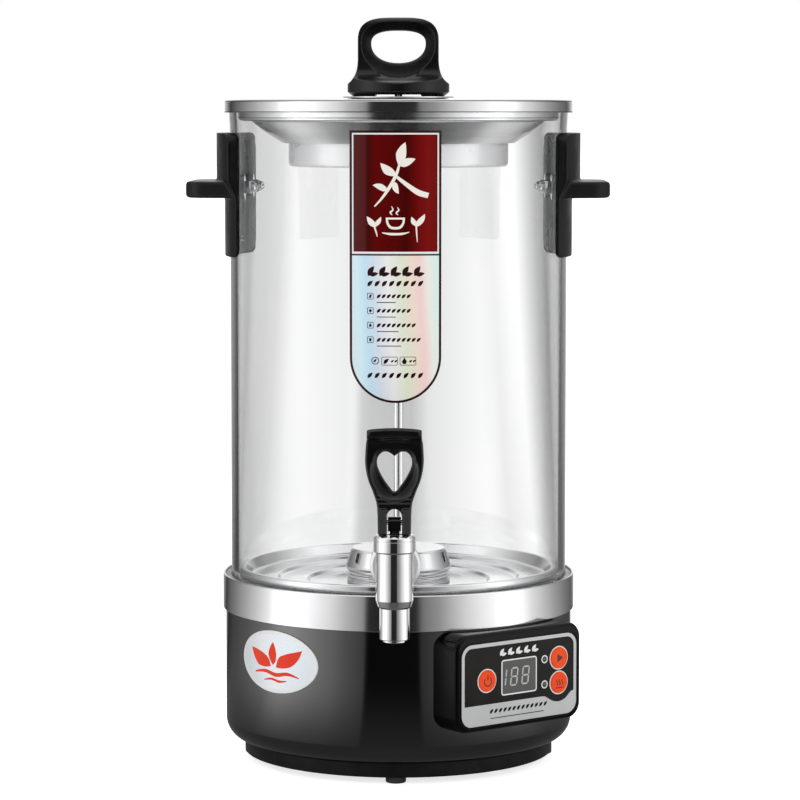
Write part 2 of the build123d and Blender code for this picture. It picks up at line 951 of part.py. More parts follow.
with BuildPart() as lid_knob:
    with BuildSketch(Plane.XZ) as front_outline:
        with BuildLine():
            loop_outline(knob_loop_half_width, knob_flare_height, knob_loop_corner, knob_loop_flat)
            mirror(about=Plane.YZ)
        make_face()
    extrude(amount=knob_base_radius, both=True)
    with BuildSketch(Plane.YZ) as side_outline:
        with BuildLine():
            loop_outline(knob_loop_thickness / 2, knob_loop_waist, knob_loop_crown, knob_loop_ridge)
            mirror(about=Plane.YZ)
        make_face()
    extrude(amount=knob_base_radius, both=True, mode=Mode.INTERSECT)
    spin(
        [
            (0, knob_z),
            (foot_half, knob_z),
            (knob_base_radius, knob_z + knob_foot_height),
            (knob_base_radius, knob_top_z),
            (0, knob_top_z),
        ],
        mode=Mode.INTERSECT,
    )
    with BuildSketch(Plane.XZ) as finger_hole:
        with BuildLine():
            FilletPolyline(
                (-knob_hole_width / 2, hole_top_z),
                (knob_hole_width / 2, hole_top_z),
                (knob_hole_width / 2, hole_low_z),
                (-knob_hole_width / 2, hole_low_z),
                radius=(
                    knob_hole_upper_corner,
                    knob_hole_upper_corner,
                    knob_hole_lower_corner,
                    knob_hole_lower_corner,
                ),
                close=True,
            )
        make_face()
    extrude(amount=knob_loop_thickness / 2, taper=-knob_hole_flare, both=True, mode=Mode.SUBTRACT)
    foot_plane = Plane.XY.offset(knob_z)
    block(foot_plane, knob_arch_width, 2 * knob_base_radius, knob_arch_height, mode=Mode.SUBTRACT)
    bar(foot_plane, knob_screw_radius, knob_screw_length, mode=Mode.SUBTRACT)
lid_knob.part.label = "lid_knob"
export_step(lid_knob.part, "parts/lid_knob.step")

with BuildPart() as knob_screw:
    head_z = seat_z - lid_sheet
    bar(Plane.XY.offset(head_z), knob_screw_radius, knob_z + knob_screw_length - head_z)
    bar(Plane.XY.offset(head_z), knob_screw_head_radius, -knob_screw_head_height)
knob_screw.part.label = "knob_screw"
export_step(knob_screw.part, "parts/knob_screw.step")

# Side handles: a stepped plate that follows the glass, with a grip ledge across it

handle_top_z = glass_top_z - handle_below_top
handle_low_z = handle_top_z - handle_height
handle_mid_z = handle_top_z - handle_height / 2
handle_inner = glass_radius + gasket_thickness
grip_top_z = handle_top_z - grip_drop
grip_low_z = grip_top_z - grip_thickness
grip_root = glass_radius * cos(radians(handle_half_angle))


def sector(points, middle, half_angle):
    """A closed outline of (radius, height) corners turned through a sector about middle."""
    start = facing(middle - right - half_angle)
    with BuildSketch(start) as outline:
        with BuildLine():
            Polyline(*points, close=True)
        make_face()
    revolve(outline.sketch, axis=Axis.Z, revolution_arc=2 * half_angle)


with BuildPart() as right_handle:
    sector(
        [
            (handle_inner, handle_low_z),
            (glass_radius + handle_lower_thickness, handle_low_z),
            (glass_radius + handle_lower_thickness, grip_low_z),
            (glass_radius + handle_upper_thickness, grip_top_z),
            (glass_radius + handle_upper_thickness, handle_top_z),
            (handle_inner, handle_top_z),
        ],
        right,
        handle_half_angle,
    )
    with BuildSketch(Plane.XY.offset(grip_low_z)):
        with BuildLine():
            FilletPolyline(
                (grip_root, -grip_root_width / 2),
                (glass_radius + grip_reach, -grip_tip_width / 2),
                (glass_radius + grip_reach, grip_tip_width / 2),
                (grip_root, grip_root_width / 2),
                radius=(0, grip_corner, grip_corner, 0),
                close=True,
            )
        make_face()
    extrude(amount=grip_thickness)
    rim = right_handle.faces().sort_by(Axis.X)[-1].edges().filter_by(Axis.Y)
    fillet(rim, grip_edge)
    bar(Plane.XY, handle_inner, glass_top_z, mode=Mode.SUBTRACT)
    block(
        facing(right, 0, handle_mid_z),
        grip_root_width + handle_corner / 2,
        handle_height,
        glass_radius + 2 * grip_reach,
        handle_corner,
        mode=Mode.INTERSECT,
    )
    with Locations(facing(left, -glass_radius, stud_z)):
        with Locations(*stud_places):
            Hole(stud_radius, depth=stud_reach)
right_handle.part.label = "right_handle"
export_step(right_handle.part, "parts/right_handle.step")

with BuildPart() as left_handle:
    mirror(right_handle.part, about=Plane.YZ)
left_handle.part.label = "left_handle"
export_step(left_handle.part, "parts/left_handle.step")

with BuildPart() as handle_gaskets:
    gasket_outline = [
        (glass_radius, handle_low_z),
        (handle_inner, handle_low_z),
        (handle_inner, handle_top_z),
        (glass_radius, handle_top_z),
    ]
    for side in sides:
        sector(gasket_outline, side, handle_half_angle)
    block(
        facing(right, -glass_radius - grip_reach, handle_mid_z),
        grip_root_width - gasket_inset,
        handle_height - gasket_inset,
        2 * (glass_radius + grip_reach),
        handle_corner,
        mode=Mode.INTERSECT,
    )
    for side in sides:
        with Locations(facing(side, handle_inner, stud_z)):
            with Locations(*stud_places):
                Hole(stud_radius, depth=handle_inner - grip_root)
handle_gaskets.part.label = "handle_gaskets"
export_step(handle_gaskets.part, "parts/handle_gaskets.step")

# Handle studs through the glass, with silicone bushes and domed nuts inside

stud_far = stud_spacing / 2 + stud_washer_radius
stud_near = stud_spacing / 2 + stud_hole_radius
washer_seat = sqrt(glass_inner**2 - stud_far**2)
washer_face = washer_seat - stud_washer_thickness
sleeve_end = sqrt(glass_radius**2 - stud_near**2)

with BuildPart() as handle_seals:
    for side in sides:
        for place in stud_places:
            washer_plane = facing(side, washer_face, stud_z)
            bar(washer_plane, stud_washer_radius, glass_radius - washer_face, place)
    bar(Plane.XY, glass_inner, glass_top_z, mode=Mode.INTERSECT)
    for side in sides:
        for place in stud_places:
            washer_plane = facing(side, washer_face, stud_z)
            bar(washer_plane, stud_hole_radius, sleeve_end - washer_face, place)
            bar(washer_plane, stud_radius, sleeve_end - washer_face, place, mode=Mode.SUBTRACT)
handle_seals.part.label = "handle_seals"
export_step(handle_seals.part, "parts/handle_seals.step")

with BuildPart() as handle_studs:
    for side in sides:
        for place in stud_places:
            stud_foot = washer_face - nut_height
            bar(facing(side, stud_foot, stud_z), stud_radius, glass_radius + stud_reach - stud_foot, place)
handle_studs.part.label = "handle_studs"
export_step(handle_studs.part, "parts/handle_studs.step")

with BuildPart() as cap_nuts:
    for side in sides:
        with BuildSketch(facing(side, washer_face, stud_z)):
            with Locations(*stud_places):
                RegularPolygon(nut_flats / 2, 6, major_radius=False)
        extrude(amount=-nut_height)
        for place in stud_places:
            bar(facing(side, washer_face - nut_height, stud_z), nut_dome_radius, -nut_dome_radius, place)
            bar(facing(side, washer_face, stud_z), stud_radius, -nut_height, place, mode=Mode.SUBTRACT)
cap_nuts.part.label = "cap_nuts"
export_step(cap_nuts.part, "parts/cap_nuts.step")

# Tap body: a turned barrel and spout, with a threaded shank back through the glass

tap_y = -(glass_radius + tap_reach)
tap_line = (0.0, tap_y)
tap_top_z = tap_z + tap_body_above
taper_z = tap_z - tap_taper_below
shoulder_z = tap_z - tap_spout_below
spout_z = shoulder_z - spout_length
valve_z = shoulder_z + seat_rise
nozzle_z = spout_z - nozzle_proud
nozzle_top_z = nozzle_z + nozzle_length
neck_z = tap_top_z + neck_height
washer_y = glass_radius + outer_seal_thickness
disc_y = washer_y + escutcheon_thickness
nut_y = glass_inner - inner_seal_thickness
shank_end = nut_y - shank_thread + lock_nut_thickness

with BuildPart() as tap_body:
    spin(
        [
            (0, spout_z),
            (spout_radius, spout_z),
            (spout_radius, shoulder_z),
            (tap_body_radius, taper_z),
            (tap_body_radius, tap_top_z),
            (neck_radius, tap_top_z),
            (neck_radius, neck_z),
            (0, neck_z),
        ],
        centre=tap_line,
    )
    bar(facing(front, shank_end, tap_z), shank_radius, -tap_y - shank_end)
    bar(facing(front, disc_y, tap_z), shank_shoulder_radius, -tap_y - disc_y)
    spin(
        [
            (0, spout_z),
            (nozzle_radius, spout_z),
            (nozzle_radius, nozzle_top_z),
            (seat_radius, nozzle_top_z),
            (seat_radius, valve_z),
            (tap_bore_radius, valve_z),
            (tap_bore_radius, neck_z),
            (0, neck_z),
        ],
        centre=tap_line,
        mode=Mode.SUBTRACT,
    )
    bar(facing(front, shank_end, tap_z), shank_bore_radius, -tap_y - shank_end, mode=Mode.SUBTRACT)
tap_body.part.label = "tap_body"
export_step(tap_body.part, "parts/tap_body.step")

with BuildPart() as tap_nozzle:
    spin(
        [
            (seat_radius, nozzle_z),
            (nozzle_radius, nozzle_z),
            (nozzle_radius, nozzle_top_z),
            (seat_radius, nozzle_top_z),
        ],
        centre=tap_line,
    )
tap_nozzle.part.label = "tap_nozzle"
export_step(tap_nozzle.part, "parts/tap_nozzle.step")

with BuildPart() as tap_escutcheon:
    bar(facing(front, washer_y, tap_z), escutcheon_radius, escutcheon_thickness)
    front_rim = tap_escutcheon.edges().sort_by(Axis.Y)[0]
    chamfer(front_rim, escutcheon_thickness / 3)
    bar(facing(front, washer_y, tap_z), shank_radius, escutcheon_thickness, mode=Mode.SUBTRACT)
tap_escutcheon.part.label = "tap_escutcheon"
export_step(tap_escutcheon.part, "parts/tap_escutcheon.step")

with BuildPart() as inner_disc:
    bar(facing(front, nut_y, tap_z), inner_seal_radius, inner_seal_thickness)
    bar(Plane.XY, glass_inner, glass_top_z, mode=Mode.INTERSECT)

with BuildPart() as tap_seals:
    bar(facing(front, nut_y, tap_z), escutcheon_radius, washer_y - nut_y)
    bar(Plane.XY, glass_radius, glass_top_z, mode=Mode.SUBTRACT)
    add(inner_disc.part)
    bar(facing(front, nut_y, tap_z), shank_radius, washer_y - nut_y, mode=Mode.SUBTRACT)
tap_seals.part.label = "tap_seals"
export_step(tap_seals.part, "parts/tap_seals.step")

with BuildPart() as tap_lock_nut:
    with BuildSketch(facing(front, nut_y, tap_z)):
        RegularPolygon(lock_nut_flats / 2, 6, major_radius=False)
        Circle(shank_radius, mode=Mode.SUBTRACT)
    extrude(amount=-lock_nut_thickness)
tap_lock_nut.part.label = "tap_lock_nut"
export_step(tap_lock_nut.part, "parts/tap_lock_nut.step")

# Tap bonnet, its guide, the stem with its plug, and the spring that shuts it

bonnet_z = tap_top_z + bonnet_height
stem_bore = stem_radius + stem_play
collar_z = valve_z + plug_height
stem_foot_z = collar_z - plug_socket
spring_foot_z = collar_z + stem_collar_height
pin_z = bonnet_z + pin_rise
head_foot_z = pin_z - stem_head_drop
head_width = lever_slot_width - 2 * stem_head_play

with BuildPart() as tap_bonnet:
    spin(
        [
            (neck_radius, tap_top_z),
            (bonnet_radius, tap_top_z),
            (bonnet_radius, bonnet_z - bonnet_bevel),
            (bonnet_radius - bonnet_bevel, bonnet_z),
            (gland_radius, bonnet_z),
            (gland_radius, neck_z),
            (neck_radius, neck_z),
        ],
        centre=tap_line,
    )
tap_bonnet.part.label = "tap_bonnet"
export_step(tap_bonnet.part, "parts/tap_bonnet.step")

with BuildPart() as tap_gland:
    spin(
        [(stem_bore, neck_z), (gland_radius, neck_z), (gland_radius, bonnet_z), (stem_bore, bonnet_z)],
        centre=tap_line,
    )
tap_gland.part.label = "tap_gland"
export_step(tap_gland.part, "parts/tap_gland.step")

with BuildPart() as tap_stem:
    spin(
        [
            (0, stem_foot_z),
            (stem_radius, stem_foot_z),
            (stem_radius, collar_z),
            (stem_collar_radius, collar_z),
            (stem_collar_radius, spring_foot_z),
            (stem_radius, spring_foot_z),
            (stem_radius, head_foot_z),
            (0, head_foot_z),
        ],
        centre=tap_line,
    )
    head_plane = Plane(origin=(0, tap_y, head_foot_z), x_dir=(1, 0, 0), z_dir=(0, 0, 1))
    block(head_plane, head_width, stem_head_depth, stem_head_drop)
    eye_plane = Plane(origin=(-head_width / 2, tap_y, pin_z), x_dir=(0, 1, 0), z_dir=(1, 0, 0))
    bar(eye_plane, stem_head_depth / 2, head_width)
    bar(eye_plane, pin_radius + pin_play, head_width, mode=Mode.SUBTRACT)
tap_stem.part.label = "tap_stem"
export_step(tap_stem.part, "parts/tap_stem.step")

with BuildPart() as tap_plug:
    spin(
        [
            (0, valve_z),
            (plug_radius, valve_z),
            (plug_radius, collar_z),
            (stem_radius, collar_z),
            (stem_radius, stem_foot_z),
            (0, stem_foot_z),
        ],
        centre=tap_line,
    )
tap_plug.part.label = "tap_plug"
export_step(tap_plug.part, "parts/tap_plug.step")

spring_rise = neck_z - spring_foot_z - 2 * spring_wire_radius

with BuildPart() as tap_spring:
    with BuildLine() as coil:
        Helix(
            pitch=spring_rise / spring_turns,
            height=spring_rise,
            radius=spring_radius,
            center=(0, tap_y, spring_foot_z + spring_wire_radius),
        )
    with BuildSketch(Plane(origin=coil.line @ 0, z_dir=coil.line % 0)):
        Circle(spring_wire_radius)
    sweep(path=coil.line, is_frenet=True)
tap_spring.part.label = "tap_spring"
export_step(tap_spring.part, "parts/tap_spring.step")

# Tap lever: the front outline and the side outline together, with a heart-shaped window

lever_z = bonnet_z + lever_gap
lever_top_z = bonnet_z + lever_top_rise
lever_neck_z = bonnet_z + lever_neck_rise
lever_wide_z = bonnet_z + lever_wide_rise
heart_z = bonnet_z + heart_rise
slot_round_z = bonnet_z + lever_slot_rise - lever_slot_width / 2
blade_half = lever_blade_thickness / 2
heel_half = lever_heel_depth / 2
lever_front = Plane(origin=(0, tap_y, 0), x_dir=(1, 0, 0), z_dir=(0, -1, 0))
lever_side = Plane(origin=(0, tap_y, 0), x_dir=(0, 1, 0), z_dir=(1, 0, 0))

with BuildPart() as tap_lever:
    with BuildSketch(lever_front) as lever_outline:
        with BuildLine():
            leg = Polyline((0, lever_z), (lever_leg_width / 2, lever_z), (lever_neck_width / 2, lever_neck_z))
            flank = Spline(
                leg @ 1,
                (lever_wide_width / 2, lever_wide_z),
                (lever_top_width / 2, lever_top_z),
                tangents=lever_flank_tangents,
            )
            Line(flank @ 1, (0, lever_top_z))
            mirror(about=Plane.YZ)
        make_face()
    extrude(amount=lever_heel_depth, both=True)
    with BuildSketch(lever_side) as lever_profile:
        with BuildLine():
            FilletPolyline(
                (-heel_half, lever_z),
                (heel_half, lever_z),
                (heel_half, lever_z + lever_heel_rise),
                (blade_half, lever_neck_z + blade_half),
                (blade_half, lever_top_z),
                (-blade_half - lever_lip_depth, lever_top_z),
                (-blade_half, lever_top_z - lever_lip_height),
                (-blade_half, lever_neck_z + blade_half),
                (-heel_half, lever_z + lever_heel_rise),
                radius=(
                    lever_heel_corner,
                    lever_heel_corner,
                    heel_half,
                    blade_half,
                    blade_half / 2,
                    blade_half / 2,
                    heel_half,
                    blade_half,
                    heel_half,
                ),
                close=True,
            )
        make_face()
    extrude(amount=lever_wide_width, both=True, mode=Mode.INTERSECT)
    with BuildSketch(lever_front) as heart:
        with BuildLine():
            lobe = Spline(
                (0, heart_z),
                (heart_width / 2, heart_z + heart_height * heart_shoulder_share),
                (heart_width / 4, heart_z + heart_height),
                (0, heart_z + heart_height * heart_notch_share),
                tangents=heart_tangents,
            )
            mirror(about=Plane.YZ)
        make_face()
    extrude(amount=lever_heel_depth, both=True, mode=Mode.SUBTRACT)
    with BuildSketch(lever_front) as slot:
        with Locations((0, lever_z)):
            Rectangle(lever_slot_width, slot_round_z - lever_z, align=(Align.CENTER, Align.MIN))
        with Locations((0, slot_round_z)):
            Circle(lever_slot_width / 2)
    extrude(amount=lever_heel_depth, both=True, mode=Mode.SUBTRACT)
    pin_plane = Plane(origin=(-lever_leg_width / 2, tap_y, pin_z), x_dir=(0, 1, 0), z_dir=(1, 0, 0))
    bar(pin_plane, pin_radius, lever_leg_width, mode=Mode.SUBTRACT)
tap_lever.part.label = "tap_lever"
export_step(tap_lever.part, "parts/tap_lever.step")

with BuildPart() as lever_pin:
    bar(pin_plane, pin_radius, lever_leg_width)
lever_pin.part.label = "lever_pin"
export_step(lever_pin.part, "parts/lever_pin.step")

# Control panel: a moulded pod whose walls run back to the round housing

pod_depth = panel_distance - sqrt(housing_radius**2 - (bezel_width / 2) ** 2)
lamp_hole_radius = lamp_radius + lamp_fit
button_places = (power_place, start_place, warm_place)
boss_pitch_x = panel_board_width - 2 * boss_inset
boss_pitch_y = panel_board_height - 2 * boss_inset
flange_depth = face_thickness + button_back_gap
post_depth = flange_depth + button_flange_thickness
post_end = post_depth + button_post_length
plunger_depth = post_end + button_travel + tact_slack
tact_depth = plunger_depth + tact_plunger_rise
panel_board_depth = tact_depth + tact_height
board_back = panel_board_depth + panel_board_thickness


def face_openings(plane, depth):
    """Cut the display window and the holes for the buttons and lamps to depth behind plane."""
    block(plane, window_width, window_height, -depth, place=window_place, mode=Mode.SUBTRACT)
    for place in button_places:
        bar(plane, button_radius + button_play, -depth, place, mode=Mode.SUBTRACT)
    for place in lamp_places:
        bar(plane, lamp_hole_radius, -depth, place, mode=Mode.SUBTRACT)


with BuildPart() as panel_bezel:
    block(panel_plane(), bezel_width, bezel_height, -pod_depth, bezel_corner)
    face = panel_bezel.faces().sort_by(Axis((0, 0, 0), panel_plane().z_dir))[-1]
    fillet(face.edges(), bezel_edge)
    block(
        panel_plane(face_thickness),
        bezel_width - 2 * bezel_wall,
        bezel_height - 2 * bezel_wall,
        -pod_depth,
        bezel_corner - bezel_wall,
        mode=Mode.SUBTRACT,
    )
    overlay_place = (0, -overlay_drop)
    block(
        panel_plane(),
        overlay_width,
        overlay_height,
        -overlay_thickness,
        overlay_corner,
        overlay_place,
        mode=Mode.SUBTRACT,
    )
    with BuildSketch(panel_plane(face_thickness)):
        with GridLocations(boss_pitch_x, boss_pitch_y, 2, 2):
            Circle(boss_radius)
    extrude(amount=face_thickness - panel_board_depth)
    with BuildSketch(panel_plane(panel_board_depth)):
        with GridLocations(boss_pitch_x, boss_pitch_y, 2, 2):
            Circle(panel_screw_radius)
    extrude(amount=panel_screw_grip, mode=Mode.SUBTRACT)
    bar(Plane.XY, housing_radius, ledge_z, mode=Mode.SUBTRACT)
    face_openings(panel_plane(), face_thickness)
panel_bezel.part.label = "panel_bezel"
export_step(panel_bezel.part, "parts/panel_bezel.step")

with BuildPart() as panel_overlay:
    block(
        panel_plane(),
        overlay_width,
        overlay_height,
        -overlay_thickness,
        overlay_corner,
        overlay_place,
    )
    face_openings(panel_plane(), overlay_thickness)
panel_overlay.part.label = "panel_overlay"
export_step(panel_overlay.part, "parts/panel_overlay.step")

with BuildPart() as display_window:
    block(panel_plane(), window_width, window_height, -face_thickness, place=window_place)
display_window.part.label = "display_window"
export_step(display_window.part, "parts/display_window.step")

with BuildPart() as display_module:
    module_depth = panel_board_depth - face_thickness
    block(panel_plane(face_thickness), window_width, window_height, -module_depth, place=window_place)
display_module.part.label = "display_module"
export_step(display_module.part, "parts/display_module.step")

with BuildPart() as indicator_lamps:
    for place in lamp_places:
        bar(panel_plane(panel_board_depth), lamp_radius, panel_board_depth + lamp_proud, place)
        bar(panel_plane(panel_board_depth), lamp_radius + lamp_flange, lamp_flange_height, place)
indicator_lamps.part.label = "indicator_lamps"
export_step(indicator_lamps.part, "parts/indicator_lamps.step")


def push_button(place):
    """A round cap with a flange behind the face and a short post over its switch."""
    with BuildPart() as button:
        bar(panel_plane(flange_depth), button_radius, flange_depth + button_proud, place)
        cap = button.faces().sort_by(Axis((0, 0, 0), panel_plane().z_dir))[-1]
        fillet(cap.edges(), button_edge)
        bar(panel_plane(flange_depth), button_radius + button_flange, -button_flange_thickness, place)
        bar(panel_plane(post_depth), button_post_radius, -button_post_length, place)
    return button


power_button = push_button(power_place)
power_button.part.label = "power_button"
export_step(power_button.part, "parts/power_button.step")

start_button = push_button(start_place)
start_button.part.label = "start_button"
export_step(start_button.part, "parts/start_button.step")

warm_button = push_button(warm_place)
warm_button.part.label = "warm_button"
export_step(warm_button.part, "parts/warm_button.step")

with BuildPart() as control_board:
    block(panel_plane(panel_board_depth), panel_board_width, panel_board_height, -panel_board_thickness)
    with BuildSketch(panel_plane(panel_board_depth)):
        with GridLocations(boss_pitch_x, boss_pitch_y, 2, 2):
            Circle(panel_screw_radius)
    extrude(amount=-panel_board_thickness, mode=Mode.SUBTRACT)
control_board.part.label = "control_board"
export_step(control_board.part, "parts/control_board.step")

with BuildPart() as tact_switches:
    for place in button_places:
        block(panel_plane(panel_board_depth), tact_size, tact_size, tact_height, place=place)
        bar(panel_plane(tact_depth), tact_plunger_radius, tact_plunger_rise, place)
tact_switches.part.label = "tact_switches"
export_step(tact_switches.part, "parts/tact_switches.step")

with BuildPart() as panel_screws:
    with BuildSketch(panel_plane(board_back)):
        with GridLocations(boss_pitch_x, boss_pitch_y, 2, 2):
            Circle(panel_screw_head_radius)
    extrude(amount=-panel_screw_head_height)
    with BuildSketch(panel_plane(board_back)):
        with GridLocations(boss_pitch_x, boss_pitch_y, 2, 2):
            Circle(panel_screw_radius)
    extrude(amount=panel_board_thickness + panel_screw_grip)
panel_screws.part.label = "panel_screws"
export_step(panel_screws.part, "parts/panel_screws.step")

# Front label: a thin film on the glass with a half-round foot

label_top_z = glass_top_z - label_below_top
label_round_z = label_top_z - label_height + label_width / 2

with BuildPart() as front_label:
    with BuildSketch(facing(front)):
        with Locations((0, (label_top_z + label_round_z) / 2)):
            Rectangle(label_width, label_top_z - label_round_z)
        with Locations((0, label_round_z)):
            Circle(label_width / 2)
    extrude(amount=glass_radius + label_thickness)
    spin(
        [
            (glass_radius, glass_z),
            (glass_radius + label_thickness, glass_z),
            (glass_radius + label_thickness, glass_top_z),
            (glass_radius, glass_top_z),
        ],
        mode=Mode.INTERSECT,
    )
front_label.part.label = "front_label"
export_step(front_label.part, "parts/front_label.step")

# Oval badge: a bare plate bent to the housing

with BuildPart() as name_badge:
    with BuildSketch(facing(badge_angle, 0, housing_z + badge_rise)):
        Ellipse(badge_width / 2, badge_height / 2)
    extrude(amount=housing_radius + badge_thickness)
    spin(
        [
            (housing_radius, housing_z),
            (housing_radius + badge_thickness, housing_z),
            (housing_radius + badge_thickness, ledge_z),
            (housing_radius, ledge_z),
        ],
        mode=Mode.INTERSECT,
    )
name_badge.part.label = "name_badge"
export_step(name_badge.part, "parts/name_badge.step")
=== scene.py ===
from math import copysign, cos, hypot, pi, radians, sin, sqrt

import bmesh
import bpy
from mathutils import Matrix, Vector


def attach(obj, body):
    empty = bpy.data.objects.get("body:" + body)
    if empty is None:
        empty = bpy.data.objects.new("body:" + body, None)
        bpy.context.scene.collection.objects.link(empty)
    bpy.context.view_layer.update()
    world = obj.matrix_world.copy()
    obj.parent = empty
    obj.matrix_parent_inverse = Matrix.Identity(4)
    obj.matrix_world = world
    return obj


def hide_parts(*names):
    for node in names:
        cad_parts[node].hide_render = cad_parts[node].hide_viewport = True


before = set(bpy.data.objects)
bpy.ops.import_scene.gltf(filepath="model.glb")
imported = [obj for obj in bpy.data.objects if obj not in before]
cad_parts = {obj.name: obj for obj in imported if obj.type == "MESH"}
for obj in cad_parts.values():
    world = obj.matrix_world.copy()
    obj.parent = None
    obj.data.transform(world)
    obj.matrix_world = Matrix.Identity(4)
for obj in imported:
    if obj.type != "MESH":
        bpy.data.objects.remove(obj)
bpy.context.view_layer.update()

# A glass tea brewer on a round heated base. Sizes here are millimetres, +Z up, the tap towards -Y.
# Every piece is made in millimetres and becomes metres when it is set down.

millimetre = 0.001

# Barrel and steel
glass_radius = 110.0
glass_inner = 105.5
glass_foot = 109.2
glass_top = 429.4
rim_flare = 0.9
band_radius = 115.6
band_inner = 114.1
band_low = 99.1
band_top = 122.0
ledge_low = 106.4
channel_top = 107.2
pan_radius = 104.0
pan_floor = 119.5
pan_ring = 117.3
pan_middle = 115.1
pan_rim = 127.0
bell_top = 137.6
bell_slot_angle = 6.0
bell_slot_height = 132.6
lid_middle = 432.8
stud_height = 375.0
stud_reach = 25.0
nut_seat = 98.17

# Base
housing_radius = 113.8
housing_low = 13.0
housing_top = 106.4
housing_wall = 3.0
foot_circle = 95.0
post_circle = 88.0
tray_low = 4.0
inlet_height = 45.0
inlet_seat = 114.4
inlet_face = 116.8
inlet_screw_reach = 20.0

# Tap
tap_y = -140.0
tap_axis = (0.0, tap_y, 0.0)
tap_height = 141.3
bonnet_low = 153.4
bonnet_top = 164.2
lever_foot = 164.5

# Panel
panel_angle = 39.0
panel_distance = 124.5
panel_height = 67.5
overlay_drop = 1.35
window_place = (-0.6, 1.35)
power_place = (-27.0, 0.9)
start_place = (32.3, 9.3)
warm_place = (32.3, -6.6)
lamp_places = ((20.5, 9.6), (20.5, -6.6))

# Label and badge
label_top = 412.0
label_low = 242.8
label_width = 57.0
label_face = 110.3
badge_angle = -42.3
badge_height = 75.0
badge_face = 114.8

# Camera
camera_distance = 2.080
camera_turn = 1.0
camera_rise = 0.423
camera_pitch = 5.172
camera_lens = 142.88
camera_shift = 0.0019


# Node trees


def feed(tree, socket, value):
    """Join an output to a socket, or set the socket's own value."""
    if isinstance(value, bpy.types.NodeSocket):
        tree.links.new(value, socket)
    else:
        socket.default_value = value


def add(tree, kind, inputs=None, **settings):
    """A new node in tree, with its settings, and its inputs set or joined."""
    node = tree.nodes.new(kind)
    for name, value in settings.items():
        setattr(node, name, value)
    for key, value in (inputs or {}).items():
        feed(tree, node.inputs[key], value)
    return node


def put(tree, kind, inputs=None, **settings):
    """The first output of a new node."""
    return add(tree, kind, inputs, **settings).outputs[0]


def maths(tree, operation, *values):
    return put(tree, "ShaderNodeMath", dict(enumerate(values)), operation=operation)


def map_range(tree, value, low, high, to_low=0.0, to_high=1.0, kind="LINEAR"):
    """A value carried from one range to another and held within it."""
    return put(
        tree, "ShaderNodeMapRange", {0: value, 1: low, 2: high, 3: to_low, 4: to_high}, interpolation_type=kind,
    )


def noise(tree, where, scale, detail=2.0, roughness=0.5, dimensions="3D"):
    inputs = {"Vector": where, "Scale": scale, "Detail": detail, "Roughness": roughness}
    return put(tree, "ShaderNodeTexNoise", inputs, noise_dimensions=dimensions)


def blend(tree, factor, first, second, kind="MIX"):
    """The colour output of one Mix node; a colour is an output or three numbers."""
    inputs = {0: factor}
    for key, colour in ((6, first), (7, second)):
        inputs[key] = (*colour, 1.0) if isinstance(colour, tuple) else colour
    return add(tree, "ShaderNodeMix", inputs, data_type="RGBA", blend_type=kind).outputs[2]


def colour_steps(tree, factor, steps):
    """A colour ramp through (position, colour) steps; a colour is three numbers or one level of grey."""
    ramp = add(tree, "ShaderNodeValToRGB", {0: factor})
    stops = ramp.color_ramp.elements
    while len(stops) < len(steps):
        stops.new(0.5)
    for stop, (position, colour) in zip(stops, steps):
        stop.position = position
        stop.color = (*colour, 1.0) if isinstance(colour, tuple) else (colour, colour, colour, 1.0)
    return ramp.outputs[0]


def steps_round(tree, across, ahead, steps):
    """Levels of grey by the angle in degrees, from the front, of the direction (across, ahead)."""
    angle = maths(tree, "ARCTAN2", across, maths(tree, "MULTIPLY", ahead, -1.0))
    turn = map_range(tree, angle, -pi, pi)
    return colour_steps(tree, turn, [((azimuth + 180) / 360, level) for azimuth, level in steps])


def object_place(tree):
    return add(tree, "ShaderNodeTexCoord").outputs["Object"]


def object_parts(tree, turn=0.0):
    """Object coordinates across, ahead and up, turned about the upright line."""
    turned_place = put(tree, "ShaderNodeMapping", {"Vector": object_place(tree), "Rotation": (0, 0, -radians(turn))})
    return add(tree, "ShaderNodeSeparateXYZ", {0: turned_place}).outputs


def from_axis(tree, parts):
    """The distance from the upright line."""
    return maths(tree, "SQRT", maths(tree, "ADD", *(maths(tree, "POWER", parts[k], 2.0) for k in (0, 1))))


def new_tree(name, kind, inputs, outputs):
    """An empty node group with named sockets, and its input and output nodes."""
    tree = bpy.data.node_groups.new(name, kind)
    for label, socket, value in inputs:
        made = tree.interface.new_socket(label, in_out="INPUT", socket_type="NodeSocket" + socket)
        if value is not None:
            made.default_value = value
    for label, socket in outputs:
        tree.interface.new_socket(label, in_out="OUTPUT", socket_type="NodeSocket" + socket)
    return tree, add(tree, "NodeGroupInput").outputs, add(tree, "NodeGroupOutput").inputs


# Meshes


def link(name, data):
    made = bpy.data.objects.new(name, data)
    bpy.context.scene.collection.objects.link(made)
    return made


def unloaded(work):
    """The mesh of a bmesh."""
    mesh = bpy.data.meshes.new("shape")
    work.to_mesh(mesh)
    work.free()
    return mesh


def lofted(layers):
    """A closed shell through loops of equal length, each (loop, height)."""
    work = bmesh.new()
    rings = [[work.verts.new((x, y, height)) for x, y in loop] for loop, height in layers]
    for low, high in zip(rings, rings[1:]):
        for k in range(len(low)):
            after = (k + 1) % len(low)
            work.faces.new((low[k], low[after], high[after], high[k]))
    work.faces.new(rings[0][::-1])
    work.faces.new(rings[-1])
    return tidy(unloaded(work))


def evaluated(made):
    """The plain mesh that an object's modifiers make; the object goes."""
    graph = bpy.context.evaluated_depsgraph_get()
    mesh = bpy.data.meshes.new_from_object(made.evaluated_get(graph), depsgraph=graph)
    bpy.data.objects.remove(made)
    return mesh


